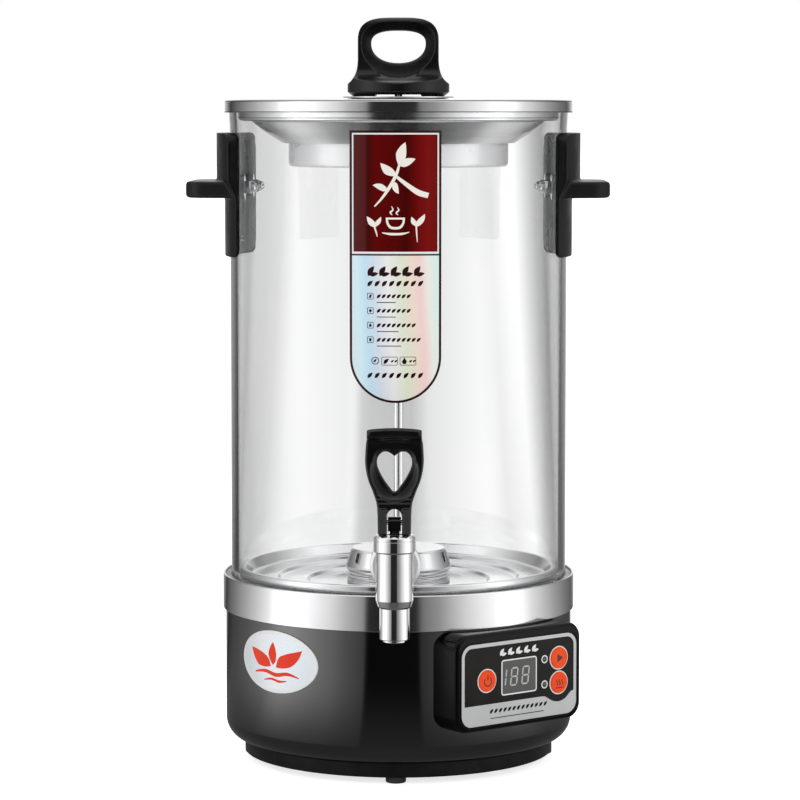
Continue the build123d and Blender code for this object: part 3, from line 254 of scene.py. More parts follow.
def run_tree(mesh, tree, values):
    """Run a Geometry Nodes tree on a mesh, with its inputs set by their identifiers."""
    made = link("work", mesh)
    modifier = made.modifiers.new("work", "NODES")
    modifier.node_group = tree
    identifiers = {item.name: item.identifier for item in tree.interface.items_tree if item.in_out == "INPUT"}
    for name, value in values.items():
        modifier[identifiers[name]] = value
    return evaluated(made)


def edit(mesh, action):
    """Run action on the bmesh of mesh."""
    work = bmesh.new()
    work.from_mesh(mesh)
    action(work)
    work.to_mesh(mesh)
    work.free()
    return mesh


def tidy(mesh, distance=0.001, turn_out=True):
    """Merge doubled points and turn the faces of a closed shell outwards."""

    def action(work):
        bmesh.ops.remove_doubles(work, verts=work.verts, dist=distance)
        if turn_out:
            bmesh.ops.recalc_face_normals(work, faces=work.faces)

    return edit(mesh, action)


def join(*meshes):
    work = bmesh.new()
    for mesh in meshes:
        work.from_mesh(mesh)
    return unloaded(work)


def place(mesh, matrix):
    """Turn and move a mesh, keeping its faces outwards."""
    mesh.transform(matrix)
    if matrix.determinant() < 0:
        mesh.flip_normals()
    return mesh


def moved(mesh, x=0.0, y=0.0, z=0.0):
    return place(mesh.copy(), Matrix.Translation((x, y, z)))


def carve(mesh, *cutters, operation="DIFFERENCE"):
    """Cut closed meshes out of another, or add them to it."""
    made = link("carved", mesh)
    others = [link("cutter", cutter) for cutter in cutters]
    for other in others:
        modifier = made.modifiers.new("carve", "BOOLEAN")
        modifier.solver = "EXACT"
        modifier.operation = operation
        modifier.object = other
    result = evaluated(made)
    for other in others:
        bpy.data.objects.remove(other)
    return result


def facing(angle, distance=0.0, height=0.0):
    """The upright frame that looks outwards at angle from the front: x right, y up, z outwards."""
    c, s = cos(radians(angle)), sin(radians(angle))
    return Matrix(((c, 0, s, s * distance), (s, 0, -c, -c * distance), (0, 1, 0, height), (0, 0, 0, 1)))


def copied(node):
    """A merged copy of a CAD node's mesh, in millimetres."""
    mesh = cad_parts[node].data.copy()
    mesh.transform(Matrix.Scale(1 / millimetre, 4))
    return tidy(mesh, 0.002, turn_out=False)


def softened(mesh, voxel, passes):
    """A moulded look: the solid in small even faces with every edge rounded."""
    made = link("moulding", mesh)
    remesh = made.modifiers.new("remesh", "REMESH")
    remesh.mode = "VOXEL"
    remesh.voxel_size = voxel
    smooth = made.modifiers.new("smooth", "SMOOTH")
    smooth.factor = 0.5
    smooth.iterations = passes
    return evaluated(made)


def even_normals(mesh):
    """Let large faces lead the shading, so that a rounded edge doesn't bend the face beside it."""
    made = link("shaded", mesh)
    made.modifiers.new("even normals", "WEIGHTED_NORMAL").keep_sharp = True
    return evaluated(made)


def set_down(name, mesh, finish, slot, *nodes, body="brewer", crease=32.0):
    """Make a mesh in millimetres a finished piece that rides on a body and stands for its CAD nodes."""
    mesh.transform(Matrix.Scale(millimetre, 4))
    mesh.materials.clear()
    mesh.materials.append(finish)
    mesh.shade_smooth()
    mesh.set_sharp_from_angle(angle=radians(crease))
    made = link(name, even_normals(mesh))
    made.data.name = name
    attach(made, body)
    if nodes:
        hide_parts(*nodes)
    return made


# Node trees for shapes


def shape_tree(name, inputs):
    """An empty Geometry Nodes tree: named inputs and a finish go in, and a shape comes out."""
    given = [(*entry, None)[:3] for entry in inputs] + [("Finish", "Material", None)]
    return new_tree(name, "GeometryNodeTree", given, [("Shape", "Geometry")])


def close_tree(tree, given, out, shape):
    """Make the repeats of a shape real, give them their finish and put them out."""
    real = put(tree, "GeometryNodeRealizeInstances", {"Geometry": shape})
    dressed = put(tree, "GeometryNodeSetMaterial", {"Geometry": real, "Material": given["Finish"]})
    tree.links.new(dressed, out[0])
    return tree


def turning_tree():
    """Turn an outline of (radius, height) corners, each with its own rounding, about an upright line."""
    inputs = (("Outline", "Geometry"), ("Segments", "Int", 192), ("Arc Steps", "Int", 6), ("Axis Place", "Vector"))
    tree, given, out = shape_tree("turned piece", inputs)
    reach = 100.0
    fillet = {
        "Curve": put(tree, "GeometryNodeMeshToCurve", {"Mesh": given["Outline"]}), "Limit Radius": True,
        "Radius": put(tree, "GeometryNodeInputNamedAttribute", {"Name": "rounding"}, data_type="FLOAT"),
        "Count": given["Arc Steps"],
    }
    rounded = put(tree, "GeometryNodeFilletCurve", fillet, mode="POLY")
    corner = add(tree, "ShaderNodeSeparateXYZ", {0: put(tree, "GeometryNodeInputPosition")}).outputs
    across = maths(tree, "SUBTRACT", corner[0], reach)
    flat = put(tree, "ShaderNodeCombineXYZ", {0: across, 1: maths(tree, "MULTIPLY", corner[2], -1.0)})
    section = put(tree, "GeometryNodeSetPosition", {"Geometry": rounded, "Position": flat})
    circle = {"Resolution": given["Segments"], "Radius": reach}
    ring = put(tree, "GeometryNodeCurvePrimitiveCircle", circle, mode="RADIUS")
    upright = put(tree, "GeometryNodeSetCurveNormal", {"Curve": ring}, mode="Z_UP")
    shell = put(tree, "GeometryNodeCurveToMesh", {"Curve": upright, "Profile Curve": section})
    closed = put(tree, "GeometryNodeMergeByDistance", {"Geometry": shell, "Distance": 0.0005})
    set_out = put(tree, "GeometryNodeTransform", {"Geometry": closed, "Translation": given["Axis Place"]})
    return close_tree(tree, given, out, set_out)


def ring_tree():
    """Repeat a shape round an upright line."""
    inputs = (("Shape", "Geometry"), ("Count", "Int", 4), ("Sweep", "Float", 2 * pi))
    tree, given, out = shape_tree("repeat in a ring", inputs)
    points = put(tree, "GeometryNodePoints", {"Count": given["Count"]})
    index = put(tree, "GeometryNodeInputIndex")
    turn = maths(tree, "DIVIDE", maths(tree, "MULTIPLY", index, given["Sweep"]), given["Count"])
    rotation = put(tree, "ShaderNodeCombineXYZ", {2: turn})
    repeats = {"Points": points, "Instance": given["Shape"], "Rotation": rotation}
    return close_tree(tree, given, out, put(tree, "GeometryNodeInstanceOnPoints", repeats))


def row_tree():
    """Repeat a shape along a straight step."""
    tree, given, out = shape_tree("repeat in a row", (("Shape", "Geometry"), ("Count", "Int", 2), ("Step", "Vector")))
    line = put(tree, "GeometryNodeMeshLine", {"Count": given["Count"], "Offset": given["Step"]}, mode="OFFSET")
    repeats = {"Points": line, "Instance": given["Shape"]}
    return close_tree(tree, given, out, put(tree, "GeometryNodeInstanceOnPoints", repeats))


turning = turning_tree()
ringing = ring_tree()
rowing = row_tree()


def turned(corners, axis=(0.0, 0.0, 0.0), segments=256, arc_steps=6):
    """A turned piece: corners are (radius, height) or (radius, height, rounding)."""
    count = len(corners)
    closed = corners[0][0] != 0 or corners[-1][0] != 0
    edges = [(k, (k + 1) % count) for k in range(count if closed else count - 1)]
    outline = bpy.data.meshes.new("outline")
    outline.from_pydata([(corner[0], 0.0, corner[1]) for corner in corners], edges, [])
    roundings = [corner[2] if len(corner) > 2 else 0.0 for corner in corners]
    outline.attributes.new("rounding", "FLOAT", "POINT").data.foreach_set("value", roundings)
    values = {"Segments": segments, "Arc Steps": arc_steps, "Axis Place": axis}
    return tidy(run_tree(outline, turning, values), 0.0005)


def pressed(path, thickness):
    """A turned sheet of even thickness on the right of a path of (radius, height, rounding)."""
    normals = []
    for (r0, z0, _), (r1, z1, _) in zip(path, path[1:]):
        length = hypot(r1 - r0, z1 - z0)
        normals.append(((z1 - z0) / length, -(r1 - r0) / length))
    far = []
    for k, (radius, height, rounding) in enumerate(path):
        before, after = normals[max(k - 1, 0)], normals[min(k, len(path) - 2)]
        spread = 1 + before[0] * after[0] + before[1] * after[1]
        shift = [(a + b) / spread * thickness for a, b in zip(before, after)]
        bend = before[0] * after[1] - before[1] * after[0]
        far_rounding = max(rounding + (thickness if bend > 0 else -thickness), 0.0) if rounding else 0.0
        far.append((max(radius + shift[0], 0.0), height + shift[1], far_rounding))
    return turned(list(path) + far[::-1])


def ring_of(mesh, count):
    return run_tree(mesh, ringing, {"Count": count, "Sweep": 2 * pi})


def row_of(mesh, count, step):
    return run_tree(mesh, rowing, {"Count": count, "Step": step})


# Flat shapes


def round_corners(width, height, radius, at=(0.0, 0.0), steps=10):
    """A closed loop: a rectangle with round corners."""
    loop = []
    for k, (sx, sy) in enumerate(((1, 1), (-1, 1), (-1, -1), (1, -1))):
        centre = (at[0] + sx * (width / 2 - radius), at[1] + sy * (height / 2 - radius))
        for j in range(steps + 1 if radius else 1):
            turn = pi / 2 * (k + j / steps)
            loop.append((centre[0] + radius * cos(turn), centre[1] + radius * sin(turn)))
    return loop


def oval(width, height, at=(0.0, 0.0), steps=64):
    turns = [2 * pi * k / steps for k in range(steps)]
    return [(at[0] + width / 2 * cos(turn), at[1] + height / 2 * sin(turn)) for turn in turns]


def disc(radius, at=(0.0, 0.0), steps=64):
    return oval(2 * radius, 2 * radius, at, steps)


def ring(radius, width):
    """Two loops: a flat ring and its hole."""
    return [disc(radius), disc(radius - width)]


def curve(points, k, t, way=False):
    """The spot on a smooth line through points, at share t of the stretch after point k, or the way onward there."""
    run = (points[max(k - 1, 0)], points[k], points[k + 1], points[min(k + 2, len(points) - 1)])
    found = []
    for a, b, c, d in zip(*run):
        first, second, third = c - a, 2 * a - 5 * b + 4 * c - d, 3 * b - a - 3 * c + d
        if way:
            found.append(0.5 * (first + 2 * second * t + 3 * third * t**2))
        else:
            found.append(0.5 * (2 * b + first * t + second * t**2 + third * t**3))
    return tuple(found)


def smooth_run(points, steps=8):
    """A smooth open line through points, without its last one."""
    return [curve(points, k, j / steps) for k in range(len(points) - 1) for j in range(steps)]


def stroke(points, widths, steps=10):
    """A brush stroke: a smooth open line through points with a width at each."""
    left, right = [], []
    last = len(points) - 2
    for k in range(last + 1):
        for j in range(steps + (k == last)):
            t = j / steps
            (x, y), (along, up) = curve(points, k, t), curve(points, k, t, way=True)
            length = hypot(along, up) or 1.0
            half = (widths[k] * (1 - t) + widths[k + 1] * t) / 2
            left.append((x - up / length * half, y + along / length * half))
            right.append((x + up / length * half, y - along / length * half))
    return left + right[::-1]


def shifted(loop, x=0.0, y=0.0, turn=0.0):
    """A loop turned and moved."""
    c, s = cos(radians(turn)), sin(radians(turn))
    return [(x + px * c - py * s, y + px * s + py * c) for px, py in loop]


def plate(loops, low, high, edge=0.0, edge_steps=2):
    """A flat shape filled between its loops, from height low to height high, its edges rounded."""
    outline = bpy.data.curves.new("outline", "CURVE")
    outline.dimensions = "2D"
    outline.fill_mode = "BOTH"
    outline.extrude = (high - low) / 2 - edge
    outline.bevel_depth = edge
    outline.bevel_resolution = edge_steps
    outline.offset = -edge
    for loop in loops:
        spline = outline.splines.new("POLY")
        spline.points.add(len(loop) - 1)
        for point, (x, y) in zip(spline.points, loop):
            point.co = (x, y, 0.0, 1.0)
        spline.use_cyclic_u = True
    mesh = tidy(evaluated(link("outline", outline)), 0.0005)
    return place(mesh, Matrix.Translation((0.0, 0.0, (low + high) / 2)))


def wrapped(mesh, outlook, step=2.0):
    """Bend a flat shape onto an upright cylinder: its thickness is measured from the cylinder's middle."""
    half = max(abs(vertex.co.x) for vertex in mesh.vertices)

    def action(work):
        for k in range(-int(half / step), int(half / step) + 1):
            everything = work.verts[:] + work.edges[:] + work.faces[:]
            bmesh.ops.bisect_plane(work, geom=everything, plane_co=(k * step, 0, 0), plane_no=(1, 0, 0), dist=1e-5)
        for vertex in work.verts:
            x, y, r = vertex.co
            vertex.co = outlook @ Vector((x, y, sqrt(r * r - x * x)))

    return edit(mesh, action)


# Finishes


def surface_tree():
    """Even colour with slow patches, slow changes of gloss and a fine grain."""
    tree, given, out = new_tree(
        "surface patches and grain", "ShaderNodeTree",
        [
            ("Colour", "Color", None), ("Patch Colour", "Color", None), ("Patch Scale", "Float", 30.0),
            ("Grain Scale", "Float", 1500.0), ("Least Roughness", "Float", 0.2), ("Most Roughness", "Float", 0.3),
        ],
        [("Colour", "Color"), ("Roughness", "Float"), ("Grain", "Float")],
    )
    where = object_place(tree)
    patches = map_range(tree, noise(tree, where, given["Patch Scale"], 3.0, 0.55), 0.35, 0.65)
    feed(tree, out[0], blend(tree, patches, given["Colour"], given["Patch Colour"]))
    feed(tree, out[1], map_range(tree, patches, 0.0, 1.0, given["Least Roughness"], given["Most Roughness"]))
    feed(tree, out[2], noise(tree, where, given["Grain Scale"], 2.0, 0.6))
    return tree


def polishing_tree():
    """Fine rings round an upright line, as a polishing wheel leaves on turned or spun steel."""
    tree, given, out = new_tree(
        "polishing lines", "ShaderNodeTree", [("Place", "Vector", None)], [("Lines", "Float")],
    )
    parts = add(tree, "ShaderNodeSeparateXYZ", {0: given["Place"]}).outputs
    line = put(tree, "ShaderNodeCombineXYZ", {0: from_axis(tree, parts), 1: parts[2]})
    feed(tree, out[0], noise(tree, line, 4000.0, dimensions="2D"))
    return tree


surface = surface_tree()
polishing = polishing_tree()


def new_finish(name, **sockets):
    """A new material, its node tree and the inputs of its shader."""
    made = bpy.data.materials.new(name)
    made.use_nodes = True
    shader = made.node_tree.nodes["Principled BSDF"].inputs
    for socket, value in sockets.items():
        shader[socket.replace("_", " ")].default_value = value
    return made, made.node_tree, shader


def finish(
    name, colour, patch, roughness, patch_scale=30.0, grain_scale=1500.0, grain_height=0.00001, lines=0.0,
    lines_about=(0.0, 0.0, 0.0), **sockets,
):
    """A procedural material: colour and gloss change slowly over it, and grain or polishing lines lift it."""
    made, tree, shader = new_finish(name, **sockets)
    group = add(tree, "ShaderNodeGroup", node_tree=surface)
    for socket, value in zip(group.inputs, ((*colour, 1.0), (*patch, 1.0), patch_scale, grain_scale, *roughness)):
        socket.default_value = value
    feed(tree, shader["Base Color"], group.outputs["Colour"])
    feed(tree, shader["Roughness"], group.outputs["Roughness"])
    height = group.outputs["Grain"]
    if lines:
        about = [-value * millimetre for value in lines_about]
        centred = put(tree, "ShaderNodeMapping", {"Vector": object_place(tree), "Location": about})
        height = put(tree, "ShaderNodeGroup", node_tree=polishing)
        feed(tree, height.node.inputs["Place"], centred)
    if lines or grain_height:
        bump = {"Height": height, "Distance": lines or grain_height, "Strength": 1.0}
        feed(tree, shader["Normal"], put(tree, "ShaderNodeBump", bump))
    return made


def metal(name, light, dark, roughness, patch_scale=25.0, metallic=1.0, **given):
    """A finish for steel or plating, its two tones a shade cooler than grey."""
    tones = [(tone, tone, round(tone + 0.01, 2)) for tone in (light, dark)]
    return finish(name, *tones, roughness, patch_scale, Metallic=metallic, **given)


def print_finish(name, steps, low, high, slant, waver, roughness, fleck, fleck_spread, **sockets):
    """A print in soft upright bands of colour, drawn slantwise across it, with flecks of gloss."""
    made, tree, shader = new_finish(name, **sockets)
    parts = object_parts(tree)
    cloud = maths(tree, "SUBTRACT", noise(tree, object_place(tree), 14.0, 1.0), 0.5)
    slanted = maths(tree, "ADD", parts[0], maths(tree, "MULTIPLY", parts[2], slant))
    wavy = maths(tree, "ADD", slanted, maths(tree, "MULTIPLY", cloud, waver))
    across = map_range(tree, wavy, low * millimetre, high * millimetre)
    feed(tree, shader["Base Color"], colour_steps(tree, across, steps))
    gloss = map_range(tree, noise(tree, object_place(tree), *fleck), *fleck_spread, *roughness)
    feed(tree, shader["Roughness"], gloss)
    return made


def foil_finish(name, steps, low, high, slant, roughness, metallic=0.0):
    return print_finish(name, steps, low, high, slant, 0.007, roughness, (2600.0, 1.0), (0.3, 0.7), Metallic=metallic)


def display_finish():
    """A smoked display filter with fine upright lines in it."""
    made, tree, shader = new_finish("smoked display filter")
    line_pitch = 0.0011
    wave = maths(tree, "SINE", maths(tree, "MULTIPLY", object_parts(tree, panel_angle)[0], 2 * pi / line_pitch))
    shade = map_range(tree, wave, -1.0, 1.0)
    feed(tree, shader["Base Color"], blend(tree, shade, (0.048, 0.048, 0.046), (0.066, 0.066, 0.063)))
    feed(tree, shader["Roughness"], map_range(tree, noise(tree, object_place(tree), 150.0), 0.0, 1.0, 0.2, 0.3))
    return made


def paint_edge_shade(made, radius, dark):
    """Painted shade: let the outer skin of a glass barrel darken where it is seen edge on, for the dark edge bands of
    glass.
    """
    tree = made.node_tree
    base = tree.nodes["Principled BSDF"].inputs["Base Color"]
    skin = maths(tree, "GREATER_THAN", from_axis(tree, object_parts(tree)), radius * millimetre)
    edge = map_range(tree, add(tree, "ShaderNodeLayerWeight", {"Blend": 0.5}).outputs["Facing"], 0.70, 0.84)
    feed(tree, base, blend(tree, maths(tree, "MULTIPLY", edge, skin), base.links[0].from_socket, dark))


def add_painted_reflection(made, low, high, steps):
    """Painted reflection on spun steel: broad upright bands, light and dark in turn round the axis, painted into the
    colour between two heights.
    """
    tree = made.node_tree
    shader = tree.nodes["Principled BSDF"].inputs
    parts = object_parts(tree)
    painted_levels = steps_round(tree, parts[0], parts[1], steps)
    above = maths(tree, "GREATER_THAN", parts[2], low * millimetre)
    within = maths(tree, "MULTIPLY", above, maths(tree, "LESS_THAN", parts[2], high * millimetre))
    colour = shader["Base Color"].links[0].from_socket
    feed(tree, shader["Base Color"], blend(tree, within, colour, painted_levels, "MULTIPLY"))
    feed(tree, shader["Metallic"], map_range(tree, within, 0.0, 1.0, 1.0, 0.25))


clear_glass = finish(
    "clear glass", (1.0, 1.0, 1.0), (0.985, 0.99, 0.99), (0.0, 0.012), 18.0, grain_height=0.0, IOR=1.47,
    Transmission_Weight=1.0,
)
# Painted shade on the barrel: darker where its outer skin is seen edge on.
paint_edge_shade(clear_glass, 107.8, (0.10, 0.10, 0.11))
clear_silicone = finish(
    "clear silicone", (0.86, 0.87, 0.88), (0.78, 0.79, 0.8), (0.25, 0.4), 60.0, 900.0, 0.00002, IOR=1.41,
    Transmission_Weight=0.75,
)
polished_steel = metal("polished steel", 0.78, 0.73, (0.10, 0.17), lines=0.000001)
spun_steel = metal("spun steel", 0.74, 0.68, (0.14, 0.22), lines=0.000002)
band_steel = metal("drawn steel band", 0.80, 0.76, (0.10, 0.14), lines=0.000001)
lid_steel = metal("polished lid steel", 0.80, 0.76, (0.09, 0.13), lines=0.000001)
basket_steel = metal("drawn basket steel", 0.94, 0.90, (0.12, 0.2), lines=0.0000015)
cup_steel = metal("satin cup steel", 0.94, 0.90, (0.24, 0.32), lines=0.0000015, metallic=0.25)
tap_chrome = metal("chrome plate", 0.84, 0.80, (0.05, 0.10), 60.0, lines=0.0000008, lines_about=tap_axis)
small_chrome = metal("bright nickel", 0.82, 0.76, (0.06, 0.12), 90.0, grain_scale=2500.0, grain_height=0.000002)
flange_steel = metal("satin flange steel", 0.86, 0.80, (0.36, 0.44), 40.0, metallic=0.55)
zinc_steel = finish(
    "zinc plated steel", (0.62, 0.63, 0.64), (0.5, 0.52, 0.55), (0.25, 0.4), 160.0, 2500.0, 0.000006, Metallic=1.0,
)
cast_aluminium = finish(
    "cast aluminium", (0.62, 0.62, 0.63), (0.5, 0.5, 0.52), (0.4, 0.55), 80.0, 1600.0, 0.00004, Metallic=1.0,
)
gloss_black = finish(
    "gloss black enamel", (0.0004, 0.0004, 0.0005), (0.0009, 0.0009, 0.0011), (0.05, 0.08), 20.0, 900.0, 0.000003,
    IOR=2.1,
)
panel_black = finish(
    "moulded black bezel", (0.0012, 0.0012, 0.0014), (0.0022, 0.0022, 0.0026), (0.14, 0.22), 45.0, 2600.0, 0.000006,
    Specular_IOR_Level=0.14,
)
satin_black = finish(
    "satin black plastic", (0.004, 0.004, 0.0044), (0.007, 0.007, 0.0076), (0.26, 0.36), 60.0, 2600.0, 0.00002,
    Specular_IOR_Level=0.34,
)
lever_black = finish(
    "polished black plastic", (0.003, 0.003, 0.0035), (0.005, 0.005, 0.006), (0.12, 0.2), 60.0, 1500.0, 0.000006,
    IOR=1.5,
)
# Painted light: a matt grey lighter than the black lever, for the legs' raised faces where they catch the light.
lit_leg_grey = finish(
    "matt grey painted lit panel", (0.020, 0.020, 0.021), (0.028, 0.028, 0.029), (0.45, 0.6), 60.0, 2600.0, 0.00002,
)
handle_black = finish(
    "black handle plastic", (0.003, 0.003, 0.0033), (0.005, 0.005, 0.0056), (0.28, 0.4), 60.0, 2600.0, 0.00002,
    Specular_IOR_Level=0.2,
)
# Painted shadow: a dark finish for thin rings where the lid's and collar's grooves and gaps lie in shade.
painted_shadow_black = finish("painted shadow line", (0.010, 0.010, 0.011), (0.016, 0.016, 0.017), (0.4, 0.55), 60.0, 2600.0, 0.00001)
black_rubber = finish("black rubber", (0.016, 0.016, 0.017), (0.026, 0.026, 0.027), (0.6, 0.8), 90.0, 1800.0, 0.00005)
board_green = finish(
    "green circuit board", (0.012, 0.09, 0.03), (0.02, 0.13, 0.045), (0.3, 0.45), 220.0, 900.0, 0.00003,
)
component_grey = finish(
    "wound component", (0.05, 0.05, 0.055), (0.09, 0.07, 0.04), (0.45, 0.6), 120.0, 1200.0, 0.00005,
)
nylon_white = finish(
    "white nylon", (0.78, 0.77, 0.73), (0.7, 0.69, 0.64), (0.4, 0.55), 90.0, 1500.0, 0.00002, Subsurface_Weight=0.1,
)
button_orange = finish(
    "orange keycap", (0.86, 0.062, 0.008), (0.90, 0.085, 0.014), (0.28, 0.36), 140.0, 2200.0, 0.00001,
    Specular_IOR_Level=0.15,
)
key_mark = finish("printed key mark", (0.09, 0.012, 0.006), (0.12, 0.02, 0.01), (0.4, 0.5), 200.0)
panel_silver = finish(
    "silver print", (0.50, 0.51, 0.51), (0.56, 0.57, 0.57), (0.35, 0.45), 40.0, 3000.0, 0.000004, Metallic=0.35,
)
panel_field = finish(
    "dark panel film", (0.006, 0.0055, 0.005), (0.010, 0.009, 0.008), (0.12, 0.2), 70.0, 3000.0, 0.000003,
    Specular_IOR_Level=0.12,
)
panel_white = finish("white print", (0.82, 0.82, 0.80), (0.76, 0.76, 0.74), (0.35, 0.45), 80.0)
digit_grey = finish("unlit digit", (0.52, 0.52, 0.50), (0.44, 0.44, 0.42), (0.35, 0.5), 300.0)
lamp_clear = finish("clear lamp", (0.10, 0.10, 0.11), (0.2, 0.2, 0.21), (0.05, 0.12), 400.0, Transmission_Weight=0.5)
label_rim = finish("dark red print", (0.020, 0.002, 0.003), (0.028, 0.003, 0.004), (0.2, 0.3), 50.0)
label_line = finish("pale foil line", (0.90, 0.88, 0.88), (0.84, 0.88, 0.90), (0.2, 0.3), 40.0)
badge_rim = finish("white badge rim", (0.80, 0.80, 0.80), (0.74, 0.75, 0.76), (0.2, 0.3), 40.0, Metallic=0.2)
badge_mark = finish(
    "red badge print", (0.74, 0.035, 0.010), (0.80, 0.05, 0.016), (0.3, 0.4), 90.0, Specular_IOR_Level=0.2,
)
level_mark = finish("grey level print", (0.52, 0.52, 0.52), (0.6, 0.6, 0.6), (0.4, 0.5), 90.0)
foil_colours = (
    (0.0, (0.74, 0.86, 0.90)), (0.11, (0.70, 0.91, 0.98)), (0.20, (0.58, 0.82, 0.98)), (0.30, (0.72, 0.80, 0.90)),
    (0.45, (0.92, 0.92, 0.92)), (0.60, (0.80, 0.86, 0.68)), (0.72, (0.94, 0.78, 0.66)), (0.80, (0.98, 0.70, 0.68)),
    (0.89, (0.90, 0.92, 0.84)), (1.0, (0.72, 0.92, 0.90)),
)
pale_foil_colours = (
    (0.0, (0.80, 0.94, 0.92)), (0.35, (0.94, 0.84, 0.90)), (0.6, (0.96, 0.86, 0.86)), (1.0, (0.94, 0.90, 0.82)),
)
frosted_colours = (
    (0.0, (0.74, 0.80, 0.86)), (0.45, (0.70, 0.76, 0.82)), (0.75, (0.84, 0.86, 0.88)), (1.0, (0.74, 0.79, 0.84)),
)
label_foil = foil_finish("shimmering foil", foil_colours, -14.0, 43.0, 0.05, (0.22, 0.34))
mark_foil = foil_finish("pale foil print", pale_foil_colours, -24.0, 24.0, 0.10, (0.25, 0.35))
badge_foil = foil_finish("frosted silver plate", frosted_colours, -110.0, -50.0, 0.25, (0.25, 0.4), 0.35)
lacquer_reds = (
    (0.0, (0.090, 0.016, 0.018)), (0.16, (0.095, 0.010, 0.012)), (0.2, (0.055, 0.001, 0.001)),
    (0.28, (0.120, 0.001, 0.001)), (0.5, (0.095, 0.001, 0.001)), (0.62, (0.060, 0.001, 0.001)),
    (0.74, (0.150, 0.001, 0.001)), (0.86, (0.210, 0.002, 0.002)), (1.0, (0.130, 0.002, 0.002)),
)
label_red = print_finish(
    "deep red lacquer", lacquer_reds, -28.5, 28.5, 0.0, 0.0, (0.12, 0.22), (60.0, 2.0), (0.0, 1.0),
    Specular_IOR_Level=0.16,
)
display_filter = display_finish()
# Painted reflection for the basket's bowl: light and dark levels by angle round the axis.
bowl_reflection_levels = (
    (-180, 0.6), (-150, 0.9), (-110, 0.35), (-85, 0.22), (-67, 0.25), (-59, 0.4), (-53, 0.75), (-46, 1.0), (-40, 1.0),
    (-33, 0.75), (-28, 0.48), (-22, 0.33), (-14, 0.16), (-8, 0.05), (8, 0.05), (16, 0.12), (24, 0.2), (33, 0.34),
    (40, 0.78), (46, 1.0), (55, 1.0), (62, 0.75), (68, 0.46), (78, 0.3), (110, 0.35), (150, 0.9), (180, 0.6),
)
add_painted_reflection(basket_steel, 403.0, 417.0, bowl_reflection_levels)


# Camera, light and floor


def set_camera():
    lens = bpy.data.cameras.new("camera")
    lens.lens = camera_lens
    lens.sensor_width = 36.0
    lens.shift_x = camera_shift
    made = link("camera", lens)
    turn = radians(camera_turn)
    made.location = (camera_distance * sin(turn), -camera_distance * cos(turn), camera_rise)
    made.rotation_euler = (radians(90.0 - camera_pitch), 0.0, turn)
    bpy.context.scene.camera = made
    bpy.context.scene.view_settings.view_transform = "Standard"


wall_levels = (
    (-180, 0.65), (-166, 0.38), (-146, 0.02), (-123, 0.14), (-109, 0.25), (-97, 0.39), (-87, 0.55), (-80, 0.82),
    (-73, 0.96), (-66, 0.90), (-56.5, 0.73), (-47.7, 0.59), (-39, 0.47), (-31, 0.31), (-19.5, 0.17), (-18, 0.01),
    (13, 0.01), (14.5, 0.11), (26, 0.195), (34.3, 0.32), (42.8, 0.45), (60.6, 0.67), (70, 0.85), (80, 0.80),
    (91, 0.51), (102.7, 0.365), (116, 0.22), (132.7, 0.12), (150, 0.06), (166, 0.38), (180, 0.65),
)
wall_strength = 1.8
sweep_front = (0.036, -2.08)
sweep_reach = (-0.207, 0.182)
sweep_levels = (
    (0.0, 0.60), (0.13, 0.42), (0.20, 0.50), (0.27, 0.47), (0.31, 0.48), (0.35, 0.58), (0.39, 0.57), (0.43, 0.60),
    (0.44, 0.64), (0.45, 0.44), (0.50, 0.42), (0.52, 0.58), (0.55, 0.59), (0.58, 0.60), (0.61, 0.52), (0.64, 0.66),
    (0.66, 0.72), (0.70, 0.50), (0.74, 0.35), (0.81, 0.22), (0.88, 0.45), (1.0, 0.59),
)
sweep_strength = 1.5
fill_light = 0.98
floor_fill = 0.85
inner_fill = 0.85
white = (1.0, 1.0, 1.0, 1.0)


def light_kinds(tree, source, walls, even, across, ahead, plain):
    """What a ray meets: walls of light in a mirror, an even fill from a matt face, soft upright bands on the sweep
    through glass, and the plain ground straight from the camera."""
    depth = add(tree, "ShaderNodeLightPath").outputs
    bounces = maths(tree, "ADD", depth["Diffuse Depth"], depth["Glossy Depth"])
    seen = maths(tree, "LESS_THAN", bounces, 0.5)
    through = maths(tree, "GREATER_THAN", depth["Transmission Depth"], 0.5)
    matt = maths(tree, "GREATER_THAN", depth["Diffuse Depth"], 0.5)

    def mixed(factor, first, second):
        return put(tree, "ShaderNodeMixShader", {0: factor, 1: first, 2: second})

    mirrored = put(tree, source, {"Color": walls, "Strength": wall_strength})
    fill_strength = maths(tree, "ADD", maths(tree, "MULTIPLY", through, inner_fill), even)
    fill = put(tree, source, {"Color": white, "Strength": fill_strength})
    slant = map_range(tree, maths(tree, "DIVIDE", across, ahead), *sweep_reach)
    bands = put(tree, source, {"Color": colour_steps(tree, slant, sweep_levels), "Strength": sweep_strength})
    return mixed(seen, mixed(matt, mirrored, fill), mixed(through, plain, bands))


def set_studio():
    """A white sweep behind, a dark gap at the camera, soft walls of light at both sides and an even fill."""
    studio = bpy.data.worlds.new("studio")
    bpy.context.scene.world = studio
    studio.use_nodes = True
    tree = studio.node_tree
    tree.nodes.clear()
    way = add(tree, "ShaderNodeSeparateXYZ", {0: add(tree, "ShaderNodeTexCoord").outputs["Generated"]}).outputs
    overhead = map_range(tree, way[2], 0.35, 0.85, kind="SMOOTHSTEP")
    walls = blend(tree, overhead, steps_round(tree, way[0], way[1], wall_levels), (0.62, 0.62, 0.62))
    plain = put(tree, "ShaderNodeBackground", {"Color": white, "Strength": 1.0})
    light = light_kinds(tree, "ShaderNodeBackground", walls, fill_light, way[0], way[1], plain)
    add(tree, "ShaderNodeOutputWorld", {0: light})


